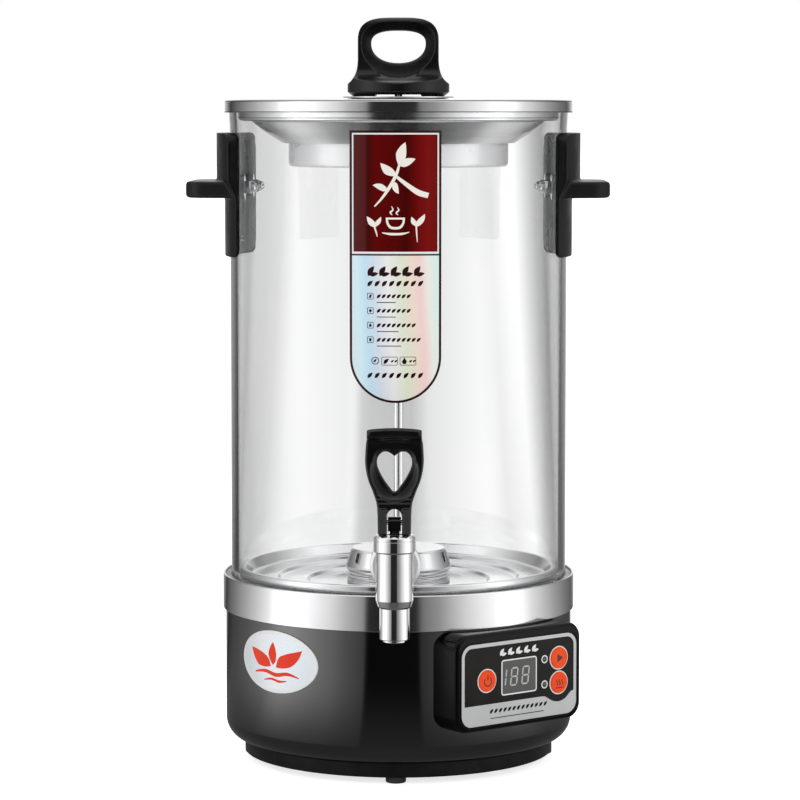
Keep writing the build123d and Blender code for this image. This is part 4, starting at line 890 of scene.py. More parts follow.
def set_floor():
    """A pale plain floor that meets the white sweep and carries the walls' light into the reflections."""
    pale = bpy.data.materials.new("pale floor")
    pale.use_nodes = True
    tree = pale.node_tree
    tree.nodes.clear()
    parts = object_parts(tree)
    near = map_range(tree, from_axis(tree, parts), 0.16, 0.5, kind="SMOOTHSTEP")
    walls = blend(tree, near, (0.07, 0.07, 0.07), steps_round(tree, parts[0], parts[1], wall_levels))
    matt_face = put(tree, "ShaderNodeBsdfDiffuse", {"Color": (0.8, 0.8, 0.8, 1.0)})
    glow = put(tree, "ShaderNodeEmission", {"Color": white, "Strength": 0.72})
    plain = put(tree, "ShaderNodeAddShader", {0: matt_face, 1: glow})
    across, ahead = (maths(tree, "SUBTRACT", part, front) for part, front in zip(parts[:2], sweep_front))
    light = light_kinds(tree, "ShaderNodeEmission", walls, floor_fill, across, ahead, plain)
    add(tree, "ShaderNodeOutputMaterial", {0: light})
    mesh = plate([disc(60000.0, steps=96)], -2.0, -0.05)
    mesh.transform(Matrix.Scale(millimetre, 4))
    mesh.materials.append(pale)
    link("floor", mesh)


set_camera()
set_studio()
set_floor()


# Glass barrel and steel


def radial_cut(loops, angle, height, low=90.0, high=120.0):
    """A cutter with its outline on an upright face, from low to high outwards from the middle."""
    return place(plate(loops, low, high), facing(angle, 0, height))


def make_barrel():
    barrel = turned([
        (glass_inner, glass_foot, 0.8), (glass_radius, glass_foot, 0.8), (glass_radius, glass_top - 16.0, 60.0),
        (glass_radius + rim_flare, glass_top, 2.0), (glass_inner + rim_flare, glass_top, 2.0),
        (glass_inner, glass_top - 16.0, 60.0),
    ])
    holes = [radial_cut([disc(8.3)], 0, tap_height)]
    for side in (90, -90):
        holes += [radial_cut([disc(3.5, (x, 0.0), 32)], side, stud_height) for x in (-stud_reach, stud_reach)]
    set_down("glass_barrel", carve(barrel, *holes), clear_glass, "clear_glass", "glass_cylinder")


def make_base_steel():
    ledge = pan_radius - 3.0
    band = turned([
        (ledge, ledge_low), (band_inner, ledge_low), (band_inner, band_low, 0.3), (band_radius, band_low, 0.5),
        (band_radius, band_top, 0.74), (band_inner, band_top, 0.74), (band_inner, channel_top, 0.6),
        (ledge, channel_top),
    ])
    set_down("steel_band", band, band_steel, "satin_steel", "base_band")
    seal = turned([
        (pan_radius, channel_top), (band_inner, channel_top), (band_inner, 120.6, 0.6), (glass_radius, 121.0, 0.6),
        (glass_radius, glass_foot), (glass_inner, glass_foot), (glass_inner, 120.6, 0.4), (pan_radius, 121.0, 0.4),
    ])
    set_down("silicone_bed", seal, clear_silicone, "clear_silicone", "glass_seal")
    pan = pressed([
        (0.0, pan_middle, 0.0), (58.3, pan_middle, 1.0), (60.5, pan_ring, 0.8), (77.6, pan_ring, 1.0),
        (79.8, pan_floor, 0.8), (97.0, pan_floor, 3.0), (101.0, pan_rim, 1.4), (pan_radius, pan_rim, 1.4),
        (pan_radius, channel_top, 0.0),
    ], 1.0)
    set_down("brewing_pan_sheet", pan, polished_steel, "polished_steel", "brewing_pan")


def make_bell():
    bell = turned([
        (32.5, pan_middle), (34.0, pan_middle, 0.4), (34.0, 116.5, 0.5), (33.1, 117.3, 0.4), (33.1, 118.5, 0.4),
        (34.4, 119.4, 0.5), (34.4, 120.6, 0.5), (33.2, 121.5, 0.4), (33.2, 122.6, 0.3), (34.8, 124.0, 0.8),
        (34.8, 126.0, 0.6), (34.2, 126.8, 0.4), (31.4, 136.4, 1.4), (30.0, bell_top, 1.0), (5.0, bell_top, 0.8),
        (5.0, 140.6, 0.5), (3.3, 140.6), (3.3, 136.1), (29.6, 136.1, 1.0), (32.5, 125.1),
    ], segments=192)
    slot = round_corners(3.5, 6.6, 0.4)
    cutters = ring_of(radial_cut([slot], bell_slot_angle, bell_slot_height, 24.0, 40.0), 6)
    set_down("percolating_bell", carve(bell, cutters), polished_steel, "polished_steel", "pump_bell")
    rim = plate([round_corners(5.3, 8.4, 0.7), slot], -0.3, 0.35, 0.2)
    rim = place(rim, facing(bell_slot_angle, 32.5, bell_slot_height) @ Matrix.Rotation(-radians(16.0), 4, "X"))
    set_down("bell_slot_rims", ring_of(rim, 6), spun_steel, "satin_steel")
    tube = turned([(2.4, 136.1), (3.25, 136.1), (3.25, 408.8, 0.4), (2.4, 408.8, 0.4)], segments=64)
    set_down("riser_pipe", tube, tap_chrome, "polished_steel", "riser_tube")


def make_basket():
    collar = pressed([
        (111.2, glass_top, 0.0), (104.4, glass_top, 1.4), (104.4, 417.8, 1.6), (96.3, 417.8, 2.2), (86.7, 410.3, 5.0),
        (75.5, 403.2, 1.2), (72.0, 403.2, 0.0),
    ], 0.8)
    set_down("collar_sheet", collar, basket_steel, "polished_steel", "basket_collar", body="basket")
    cup = pressed([(74.6, 404.0, 0.0), (71.7, 404.0, 0.6), (71.7, 388.0, 3.0), (58.0, 388.0, 0.0)], 0.8)
    set_down("cup_sheet", cup, cup_steel, "polished_steel", "tea_basket", body="basket")
    lid = pressed([
        (2.5, lid_middle, 0.0), (38.0, lid_middle, 6.0), (104.0, 431.2, 6.0), (113.3, 431.2, 2.0),
        (113.3, 423.0, 0.0),
    ], 1.0)
    set_down("lid_sheet", lid, lid_steel, "polished_steel", "lid_shell", body="lid")
    # Painted shadow: thin dark rings at the top and foot of the lid's rim stand in for the shade of a groove and of
    # the gap below the rim.
    upper_line = turned([(112.0, 430.0), (113.18, 430.0, 0.08), (112.78, 430.6, 0.08), (112.0, 430.6)])
    lower_line = turned([(112.0, 423.2), (113.36, 423.2, 0.05), (113.36, 423.7, 0.05), (112.0, 423.7)])
    set_down("lid_painted_shadow_lines", join(upper_line, lower_line), painted_shadow_black, "satin_black", body="lid")
    # Painted shadow: a thin dark ring where the collar's upright lip turns inwards.
    line = turned([(103.8, 419.5), (104.46, 419.5, 0.05), (104.46, 420.0, 0.05), (103.8, 420.0)])
    set_down("collar_painted_shadow_line", line, painted_shadow_black, "satin_black", body="basket")
    washer = [(2.5, lid_middle), (36.5, lid_middle, 0.25), (36.5, 433.4, 0.28), (2.5, 433.4)]
    set_down("knob_seat", turned(washer, segments=192), small_chrome, "polished_steel", "knob_plate", body="lid")


make_barrel()
make_base_steel()
make_bell()
make_basket()


# Base

inlet_outlook = facing(180, 0, inlet_height)


def make_base():
    inner = housing_radius - housing_wall
    shell = turned([
        (95.5, housing_low), (housing_radius, housing_low, 13.0), (housing_radius, housing_top), (inner, housing_top),
        (inner, 16.0, 10.0), (95.5, 16.0),
    ], arc_steps=16)
    pad = place(plate([round_corners(60.0, 34.0, 1.5)], 104.0, inlet_seat, 0.5), inlet_outlook)
    shell = carve(shell, pad, operation="UNION")
    opening = radial_cut([round_corners(90.0, 48.0, 2.0)], panel_angle, panel_height, high=125.0)
    mouth = radial_cut([round_corners(27.0, 20.0, 0.5)], 180, inlet_height, high=125.0)
    set_down("enamel_housing", carve(shell, opening, mouth), gloss_black, "gloss_black", "base_housing")
    foot = turned([
        (0.0, 0.0), (6.5, 0.0, 0.9), (6.5, 4.0, 0.4), (3.0, 4.0), (3.0, 6.5), (3.9, 6.5, 0.2), (3.5, 7.4, 0.3),
        (0.0, 7.4),
    ], axis=(0.0, -foot_circle, 0.0), segments=64)
    set_down("rubber_pads", ring_of(foot, 4), black_rubber, "black_rubber", "rubber_feet")


def case_screw():
    """A flat-head screw with a cross recess: its face on its own plane, looking up, and its shank below."""
    outline = [(0.0, 0.0), (3.2, 0.0), (1.7, -1.7), (1.5, -1.9), (1.5, -12.5, 0.4), (0.0, -12.5)]
    blades = [plate([round_corners(*size, 0.25)], -1.0, 0.5) for size in ((3.9, 0.8), (0.8, 3.9))]
    return carve(turned(outline, segments=48), *blades)


def make_inlet():
    mouth = round_corners(24.4, 16.4, 2.0)
    face = plate([round_corners(50.0, 24.0, 4.0), mouth], inlet_seat, inlet_face, 0.5)
    sink = [(0.0, 114.0), (1.6, 114.0), (1.6, 115.1), (3.3, inlet_face), (3.3, 117.5), (0.0, 117.5)]
    sink = turned(sink, segments=48)
    face = carve(face, moved(sink, inlet_screw_reach), moved(sink, -inlet_screw_reach))
    well_outline = round_corners(27.0, 20.0, 2.5)
    well = join(plate([well_outline, mouth], 94.6, 114.6), plate([well_outline], 94.4, 100.8))
    socket = place(join(face, well), inlet_outlook)
    set_down("lead_socket", socket, satin_black, "satin_black", "power_inlet")
    spots = ((-7.0, -2.0), (7.0, -2.0), (0.0, 2.0))
    pins = join(*[plate([round_corners(2.0, 4.0, 0.4, spot, 4)], 100.8, 113.8, 0.25) for spot in spots])
    set_down("socket_pins", place(pins, inlet_outlook), small_chrome, "zinc_steel", "inlet_pins")


def make_case_screws():
    """Six equal screws: two in the inlet's flange and four up through the tray into the posts."""
    corner = post_circle * cos(pi / 4)
    tray_screw = moved(place(case_screw(), Matrix.Rotation(pi, 4, "X")), corner, corner, tray_low)
    flange_screw = moved(case_screw(), -inlet_screw_reach, 0.0, inlet_face)
    flange_screws = place(row_of(flange_screw, 2, (2 * inlet_screw_reach, 0.0, 0.0)), inlet_outlook)
    screws = join(ring_of(tray_screw, 4), flange_screws)
    set_down("flush_screws", screws, zinc_steel, "zinc_steel", "case_screws")


make_base()
make_inlet()
make_case_screws()


# Tap


def hexagon(across_flats):
    reach = across_flats / sqrt(3)
    return [(reach * cos(pi / 3 * k), reach * sin(pi / 3 * k)) for k in range(6)]


def make_tap():
    front = facing(0, 0, tap_height)
    barrel = turned([
        (7.4, 98.9), (9.35, 98.9, 0.7), (9.35, 118.7, 0.4), (10.4, 119.6, 0.8), (11.7, 123.6, 2.0),
        (11.7, bonnet_low, 0.5), (10.5, bonnet_low), (10.5, 160.0), (9.0, 160.0), (9.0, 119.7), (6.0, 119.7),
        (6.0, 112.0), (7.4, 112.0),
    ], tap_axis, 160)
    shank = [(5.0, 93.5), (8.0, 93.5, 0.5), (8.0, 115.5), (10.0, 115.5, 0.4), (10.0, 134.5), (5.0, 134.5)]
    barrel = carve(barrel, place(turned(shank, segments=96), front), operation="UNION")
    set_down("tap_barrel", barrel, tap_chrome, "chrome_plate", "tap_body")
    nozzle = turned([(6.0, 97.3, 0.3), (7.4, 97.3, 0.6), (7.4, 112.0), (6.0, 112.0)], tap_axis, 96)
    set_down("tap_outlet", nozzle, tap_chrome, "chrome_plate", "tap_nozzle")
    cap = turned([
        (10.5, bonnet_low), (12.6, bonnet_low, 0.3), (13.0, 154.1, 0.4), (13.0, 160.5, 0.2), (12.75, 160.7, 0.1),
        (13.0, 160.9, 0.2), (13.0, 163.0, 0.7), (11.6, bonnet_top, 0.8), (5.0, bonnet_top), (5.0, 160.0),
        (10.5, 160.0),
    ], tap_axis, 160)
    set_down("tap_cap", cap, tap_chrome, "chrome_plate", "tap_bonnet")
    collar = [(8.0, 111.5), (16.0, 111.5, 0.4), (16.0, 114.0, 1.2), (14.2, 115.5, 1.2), (8.0, 115.5)]
    collar = place(turned(collar, segments=128), front)
    set_down("tap_collar", collar, flange_steel, "polished_steel", "tap_escutcheon")
    nut = place(plate([hexagon(22.0), disc(8.0)], 95.5, 101.5, 0.5), front)
    set_down("tap_nut", nut, small_chrome, "zinc_steel", "tap_lock_nut")
    guide = turned([(2.98, 160.0), (5.0, 160.0), (5.0, 164.1, 0.4), (2.98, 164.1, 0.3)], tap_axis, 64)
    set_down("stem_guide", guide, nylon_white, "nylon_white", "tap_gland")


lever_side = (
    (10.25, 0.0), (10.4, 8.0), (10.85, 18.5), (13.2, 26.0), (16.3, 34.0), (18.0, 43.5), (17.7, 54.0), (16.9, 60.0),
    (16.7, 64.2),
)
lever_steps = ((21.0, 6.4), (23.5, 5.7), (26.0, 5.0), (28.5, 4.4))
lip_section = (
    (-4.0, 57.2), (3.8, 57.0), (6.6, 59.4), (9.4, 61.0), (10.5, 62.8), (10.2, 65.2), (8.4, 66.5), (3.0, 66.0),
    (-4.0, 64.4),
)
heart_side = (
    (0.0, -12.1), (1.3, -11.5), (3.3, -9.0), (6.5, -4.4), (9.2, 0.6), (10.6, 4.9), (10.1, 9.0), (7.4, 12.0),
    (4.2, 12.2), (1.6, 10.9), (0.0, 9.6),
)
heart_centre = (0.0, 38.6)


def heart_points(scale=1.0):
    """A heart-shaped loop about the middle of the lever's window."""
    other_side = [(-x, y) for x, y in heart_side[::-1]]
    return [(x * scale, y * scale) for x, y in smooth_run(heart_side) + smooth_run(other_side)]


def lever_dish():
    """The shallow dish that slopes from the lever's rim down to the heart."""
    heart = heart_points(1.12)
    rim = [(15.4 * x / hypot(x, y), (14.5 if y > 0 else 17.5) * y / hypot(x, y)) for x, y in heart]
    layers = []
    for share, depth in ((1.3, 8.4), (1.0, 4.1), (0.72, 3.25), (0.36, 2.55), (0.0, 2.2)):
        loop = [(a * (1 - share) + c * share, b * (1 - share) + d * share) for (a, b), (c, d) in zip(heart, rim)]
        layers.append((shifted(loop, *heart_centre), depth))
    return lofted(layers)


def lever_lip():
    """The lever's rolled lip, which sags towards both ends."""
    slices = []
    for k in range(-8, 9):
        sag = 1.1 * (k / 8) ** 2
        inset = 0.93 if abs(k) == 8 else 1.0
        slices.append(([(x * inset, y * inset + (1 - inset) * 61.5 - sag) for x, y in lip_section], 16.9 * k / 8))
    return tidy(place(lofted(slices), Matrix(((0, 0, 1, 0), (0, 1, 0, 0), (1, 0, 0, 0), (0, 0, 0, 1)))))


def lever_window():
    """A cutter for the heart-shaped window, which widens towards both faces."""
    layers = []
    half = 4.4
    for depth in (-6.0, -4.4, -3.9, -3.0, -1.8, 0.0, 1.8, 3.0, 3.9, 4.4, 6.0):
        share = 1.0 - sqrt(max(1.0 - (min(abs(depth), half) / half) ** 2, 0.0))
        heart = heart_points(1.0 + 0.42 * share)
        layers.append((shifted(heart, heart_centre[0], heart_centre[1] - 0.6 * share), depth))
    return lofted(layers)


def make_lever():
    """A moulded lever: blade, rolled lip, a heart-shaped window in a shallow dish and two legs over the stem."""
    front = facing(0, -tap_y, lever_foot)
    outline = smooth_run(lever_side, 6) + [lever_side[-1]]
    outline += [(-x, y) for x, y in reversed(outline)]
    solid = [plate([[point for point in outline if point[1] > 16.0]], -4.5, 4.0, 1.4, 3)]
    solid += [plate([[(x, y) for x, y in outline if y < top]], -deep, deep, 1.2, 3) for top, deep in lever_steps]
    solid += [plate([round_corners(20.5, 14.5, 1.5, (0.0, 7.25))], -8.0, 8.0, 1.2, 3), lever_lip()]
    solid += [plate([round_corners(4.6, 15.5, 0.6, (x, 8.4))], 6.0, 8.9, 0.5, 2) for x in (-7.4, 7.4)]
    arch = [(4.6 * cos(pi * k / 16), 11.6 + 4.6 * sin(pi * k / 16)) for k in range(17)]
    slot = plate([[(-4.6, -3.0), (4.6, -3.0)] + arch], -20.0, 20.0)
    solid = carve(softened(join(*solid), 0.42, 4), lever_window(), slot, lever_dish())
    across = Matrix.Translation((0.0, 7.2, 0.0)) @ Matrix.Rotation(pi / 2, 4, "Y")
    pin_hole = place(plate([disc(1.6, steps=32)], -20.0, 20.0), across)
    lever = place(carve(softened(solid, 0.42, 2), pin_hole), front)
    set_down("heart_lever", lever, lever_black, "gloss_black", "tap_lever", body="lever", crease=50.0)
    # Painted light: raised plates on the legs in a lighter matt grey, standing in for their lit faces.
    corners = ((5.4, 1.2), (9.5, 1.2), (9.7, 16.4), (8.0, 16.2), (5.4, 15.2))
    panels = [plate([[(side * x, y) for x, y in corners][::side]], 8.4, 9.3, 0.3) for side in (-1, 1)]
    set_down("lever_side_panels", place(join(*panels), front), lit_leg_grey, "gloss_black", body="lever")


make_tap()
make_lever()


# Knob and handles


def finger_loop(side_share, low_share, steps=96):
    """The egg-shaped outline of the knob's finger hole, grown sideways, upwards and downwards."""
    loop = []
    for k in range(steps):
        across, up = cos(2 * pi * k / steps), sin(2 * pi * k / steps)
        power = 2 / (2.6 if up >= 0 else 2.15)
        half = 17.7 + 6.3 * side_share
        tall = 8.3 + 6.4 * side_share if up >= 0 else 12.5 + 10.5 * low_share
        loop.append((half * copysign(abs(across) ** power, across), 467.7 + tall * copysign(abs(up) ** power, up)))
    return loop


def make_knob():
    """The moulded knob, with a scoop that runs into its finger hole from both faces."""
    layers = []
    depths = (1, 2.5, 4, 6, 8, 9.5, 11, 12, 14, 17, 20, 23)
    for depth in [-depth for depth in reversed(depths)] + list(depths):
        reach = abs(depth) - 1.0
        layers.append((finger_loop(min((reach / 10) ** 1.25, 1.06), min((reach / 12) ** 1.2, 1.0)), depth))
    filler = place(plate([round_corners(46.0, 27.0, 8.0, (0.0, 465.6))], -10.6, 10.6), facing(0))
    solid = carve(copied("lid_knob"), filler, operation="UNION")
    knob = softened(carve(solid, place(lofted(layers), facing(0))), 0.45, 3)
    set_down("loop_knob", knob, satin_black, "satin_black", "lid_knob", body="lid", crease=60.0)


def make_handles():
    for side in ("right", "left"):
        handle = softened(copied(side + "_handle"), 0.8, 3)
        set_down(side + "_grip", handle, handle_black, "satin_black", side + "_handle", crease=60.0)


def make_nuts():
    """Domed nuts on square washers inside the glass, two for each handle."""
    dome = [(0.0, -8.2), (1.6, -8.0, 1.2), (3.2, -6.4, 2.0), (3.7, -4.4, 0.5), (3.7, -3.0), (0.0, -3.0)]
    nut = join(plate([hexagon(8.0)], -4.5, -0.4, 0.4), turned(dome, segments=48))
    washer = plate([round_corners(12.4, 12.4, 0.8), disc(2.5, steps=32)], -0.5, 0.0, 0.15)
    washer = place(washer, Matrix.Rotation(radians(40.0), 4, "Z"))
    for name, shape, nodes in (("domed_nuts", nut, ["cap_nuts"]), ("square_washers", washer, [])):
        pair = row_of(moved(shape, -stud_reach, 0.0, nut_seat), 2, (2 * stud_reach, 0.0, 0.0))
        both = join(*[place(pair.copy(), facing(side, 0, stud_height)) for side in (90, -90)])
        set_down(name, both, small_chrome, "zinc_steel", *nodes)


make_knob()
make_handles()
make_nuts()


# Control panel

panel_outlook = facing(panel_angle, panel_distance, panel_height)
overlay_place = (0.0, -overlay_drop)
key_places = (power_place, start_place, warm_place)


def on_panel(name, shapes, low, high, finish, slot="panel_film", *nodes, edge=0.0):
    """Flat pieces of one finish on the panel, each shape an outline with its holes."""
    flat = join(*[plate(loops, low, high, edge) for loops in shapes])
    set_down(name, place(flat, panel_outlook), finish, slot, *nodes)


def around(at, *sizes):
    """Round-cornered outlines about one spot, each size a width, a height and a radius."""
    return [round_corners(*size, at) for size in sizes]


def face_holes(low, high):
    """Cutters for the window, keys and lamps."""
    holes = around(window_place, (29.2, 22.7, 0.0))
    holes += [disc(6.83, spot, 48) for spot in key_places] + [disc(1.6, spot, 32) for spot in lamp_places]
    return [plate([hole], low, high) for hole in holes]


def make_bezel():
    body = plate([round_corners(103.0, 62.0, 10.0, steps=14)], -26.0, 0.0, 3.0, 7)
    hollow = plate([round_corners(98.0, 57.0, 7.5)], -30.0, -3.0)
    recess = plate([round_corners(94.5, 52.0, 8.0, overlay_place, 14)], -0.5, 3.0)
    rims = [round_corners(*size, overlay_place, 14) for size in ((97.6, 55.1, 9.5), (96.2, 53.7, 8.8))]
    body = carve(body, hollow, recess, plate(rims, -0.45, 3.0), *face_holes(-9.0, 3.0))
    for spot in ((40, 19), (-40, 19), (-40, -19), (40, -19)):
        body = carve(body, plate([disc(3.0, spot, 32)], -8.0, -2.9), operation="UNION")
    drum = turned([(0.0, 10.0), (housing_radius, 10.0), (housing_radius, 130.0), (0.0, 130.0)])
    body = carve(place(body, panel_outlook), drum)
    set_down("panel_housing", body, panel_black, "gloss_black", "panel_bezel")


def field_outline():
    """The dark field of the panel print: its foot dips round the lower right key."""
    upper = [point for point in round_corners(89.9, 47.4, 5.7, overlay_place, 12) if point[1] > 0]
    foot = (
        (44.95, -12.7), (42.9, -13.3), (40.6, -15.1), (37.4, -17.6), (32.6, -18.8), (27.8, -18.1), (24.2, -16.2),
        (21.0, -14.5), (17.5, -14.1),
    )
    return upper + [(-44.95, -14.1), foot[-1]] + smooth_run(foot)[::-1]


def make_overlay():
    """A silver film with a dark printed field, a white frame and white rings."""
    film = carve(plate([round_corners(94.5, 52.0, 8.0, overlay_place, 14)], -0.5, 0.0, 0.06), *face_holes(-2.0, 2.0))
    set_down("panel_film", place(film, panel_outlook), panel_silver, "panel_film", "panel_overlay")
    field = carve(plate([field_outline()], -0.02, 0.06), *face_holes(-2.0, 2.0))
    corners = plate(around(window_place, (29.2, 22.7, 0.0), (29.0, 22.5, 1.9)), 0.0, 0.08)
    set_down("dark_field_print", place(join(field, corners), panel_outlook), panel_field, "panel_film")
    print_parts = [plate(around(window_place, (29.2, 22.7, 2.0), (27.5, 21.0, 1.2)), 0.0, 0.12, 0.02)]
    for (radius, width), spots in (((7.65, 0.82), key_places), ((2.6, 0.75), lamp_places)):
        print_parts += [moved(plate(ring(radius, width), 0.0, 0.12, 0.02), *spot) for spot in spots]
    set_down("white_panel_print", place(join(*print_parts), panel_outlook), panel_white, "panel_film")


def digit_segments(shown="abcdefg"):
    """A seven-stroke digit, 5.6 wide and 11.6 high about its middle, leaning to the right."""
    right, up, half = 2.5, 5.4, 0.5
    spots = {
        "a": (0, up), "b": (right, up / 2), "c": (right, -up / 2), "d": (0, -up), "e": (-right, -up / 2),
        "f": (-right, up / 2), "g": (0, 0),
    }
    loops = []
    for name in shown:
        x, y = spots[name]
        reach = (up / 2 if x else right) - 0.22
        near = reach - half
        bar = [(-reach, 0), (-near, half), (near, half), (reach, 0), (near, -half), (-near, -half)]
        if x:
            bar = [(-b, a) for a, b in bar]
        loops.append([(x + a + 0.12 * (y + b), y + b) for a, b in bar])
    return loops


def make_display():
    window = [round_corners(29.2, 22.7, 0.0, window_place)]
    on_panel("display_filter", [window], -3.0, 0.0, display_filter, "dark_window", "display_window")
    digits = row_of(moved(plate(digit_segments(), 0.0, 0.05), -4.6, window_place[1]), 2, (9.3, 0.0, 0.0))
    first = moved(plate(digit_segments("bc"), 0.0, 0.05), -13.9, window_place[1])
    set_down("display_digits", place(join(digits, first), panel_outlook), digit_grey, "dark_window")
    on_panel("display_block", [window], -7.7, -3.0, satin_black, "satin_black", "display_module", edge=0.2)
    lamp = [(0.0, -7.7), (1.9, -7.7, 0.2), (1.9, -6.5, 0.2), (1.5, -6.5), (1.5, 0.3, 0.9), (0.0, 0.3)]
    lamps = join(*[moved(turned(lamp, segments=32), *spot) for spot in lamp_places])
    set_down("panel_lamps", place(lamps, panel_outlook), lamp_clear, "lamp_clear", "indicator_lamps")


def power_icon():
    arc = [(2.9 * sin(radians(a)), 2.9 * cos(radians(a)) - 0.3) for a in range(38, 323, 15)]
    return [stroke(arc, [0.8] * len(arc), 3), round_corners(0.8, 3.4, 0.35, (0.0, 2.1), 4)]


def warm_icon():
    bends = [[(x + 0.55 * sin(k * pi / 2), -1.7 + 1.2 * k) for k in range(4)] for x in (-2.2, 0.0, 2.2)]
    return [stroke(bend, [0.7] * 4, 6) for bend in bends] + [round_corners(6.4, 0.7, 0.3, (0.0, -3.2), 4)]


def make_keys():
    cap = turned([
        (0.0, -5.5), (3.0, -5.5, 0.3), (3.0, -4.5), (7.75, -4.5, 0.2), (7.75, -3.3, 0.2), (6.75, -3.3),
        (6.75, 1.0, 0.6), (6.0, 1.15, 1.0), (0.0, 1.0),
    ], segments=96)
    icons = (power_icon(), [[(-1.9, 2.7), (3.0, 0.0), (-1.9, -2.7)]], warm_icon())
    for name, spot, icon in zip(("power", "start", "warm"), key_places, icons):
        body = name + "_key"
        key = place(moved(cap, *spot), panel_outlook)
        set_down(name + "_keycap", key, button_orange, "orange_button", name + "_button", body=body)
        mark = place(moved(plate(icon, 0.9, 1.14), *spot), panel_outlook)
        set_down(name + "_key_mark", mark, key_mark, "orange_button", body=body)


make_bezel()
make_overlay()
make_display()
make_keys()


# Label

label_outlook = facing(0.0)
label_inner = label_width / 2 - 1.5
print_layer = 0.03


def label_loop(inset):
    """The label's outline, straight sides and a half-round foot, moved in by inset."""
    half = label_width / 2 - inset
    turns = [pi + pi * k / 48 for k in range(49)]
    foot = [(half * cos(turn), label_low + label_width / 2 + half * sin(turn)) for turn in turns]
    return [(half, label_top - inset), (-half, label_top - inset)] + foot


def box_loop(half, low, high):
    return [(half, high), (-half, high), (-half, low), (half, low)]


def on_label(name, shapes, layer, finish, low=None):
    """A thin print on the label, each shape an outline with its holes; layers lie over one another."""
    face = label_face + layer * print_layer
    foot = face - print_layer if low is None else low
    mesh = join(*[plate(loops, foot, face) for loops in shapes])
    set_down(name, wrapped(mesh, label_outlook), finish, "label_red", *(["front_label"] if low else []))


def leaf(length, width, bend=0.0, x=0.0, y=0.0, turn=0.0):
    """A pointed leaf from (x, y), turned from the level."""
    tip = (length, bend * 0.4)
    top = ((0.22, 0.42, 0.0), (0.5, 0.5, 1.0), (0.8, 0.26, 1.0))
    low = ((0.78, -0.3, 0.8), (0.48, -0.46, 0.6), (0.2, -0.34, 0.0))
    top = [(0.0, 0.0)] + [(length * a, width * b + bend * c) for a, b, c in top] + [tip]
    low = [tip] + [(length * a, width * b + bend * c) for a, b, c in low] + [(0.0, 0.0)]
    return shifted(smooth_run(top) + smooth_run(low), x, y, turn)


def label_sprig():
    """A tea sprig in brush strokes: a bent stem, four leaves and a bud."""
    return [
        stroke([(-13.0, 365.0), (-8.5, 370.0), (-3.6, 377.0), (0.8, 385.5), (3.2, 394.0)], [0.7, 1.4, 2.1, 1.9, 0.9]),
        stroke([(0.6, 383.6), (7.0, 378.6), (14.0, 373.8), (20.4, 371.8)], [1.6, 2.6, 3.5, 3.3]),
        leaf(15.5, 6.2, 0.9, 2.3, 389.8, 74.0), leaf(12.5, 5.2, 0.8, 0.2, 383.8, 138.0),
        leaf(10.5, 4.4, 0.6, 3.0, 390.0, 24.0), leaf(10.0, 4.2, -0.6, -4.6, 375.6, 166.0),
        leaf(8.4, 4.0, -0.5, -1.6, 380.4, -62.0),
    ]


def open_bowl(points):
    """The outline of a bowl from its left lip round to its right lip."""
    points = points + [(-x, z) for x, z in points[::-1]]
    return smooth_run(points) + [points[-1]]


def label_cup():
    """A small cup with a saucer line and steam, and a sprout on each side of it."""
    bowl = open_bowl([(-6.0, 358.2), (-5.4, 354.2), (-2.8, 351.2)])
    hollow = open_bowl([(-4.6, 357.0), (-4.0, 354.4), (-2.0, 352.6)])
    return [[bowl, hollow]] + [
        [loop]
        for loop in (
            stroke([(-8.2, 348.8), (-3.0, 348.0), (4.0, 348.1), (8.6, 349.2)], [0.5, 1.5, 1.4, 0.4]),
            stroke([(-2.0, 359.8), (-3.1, 361.4), (-1.5, 363.0), (-2.4, 365.2)], [0.4, 1.1, 0.9, 0.3]),
            stroke([(1.6, 359.8), (0.6, 361.2), (2.1, 362.8), (1.3, 364.6)], [0.4, 1.0, 0.9, 0.3]),
            leaf(9.0, 3.6, 0.5, -12.0, 352.0, 128.0), leaf(7.0, 3.0, -0.4, -12.4, 352.6, 62.0),
            stroke([(-11.2, 346.4), (-12.2, 350.0), (-13.6, 353.6)], [0.5, 1.0, 0.8]),
            leaf(9.6, 3.8, -0.5, 13.0, 352.4, 58.0), leaf(6.6, 3.0, 0.4, 13.0, 352.8, 116.0),
            stroke([(13.6, 343.0), (13.2, 348.6), (12.9, 353.2)], [0.4, 0.9, 1.0]),
        )
    ]


def leaf_row(count, start, step, z, length, turn):
    """A row of equal small leaves."""
    return [[leaf(length, length * 0.47, length * 0.05, start + step * k, z, turn)] for k in range(count)]


row_signs = (
    ((-1.0, -1.1), (0.3, -1.1), (1.0, 1.1), (-0.3, 1.1)), ((0.0, -1.2), (1.1, 0.0), (0.0, 1.2), (-1.1, 0.0)),
    ((0.0, 1.3), (0.9, -0.1), (0.6, -1.0), (-0.6, -1.0), (-0.9, -0.1)),
    ((-0.8, 0.9), (0.8, 0.9), (0.6, -1.0), (-0.6, -1.0)),
)


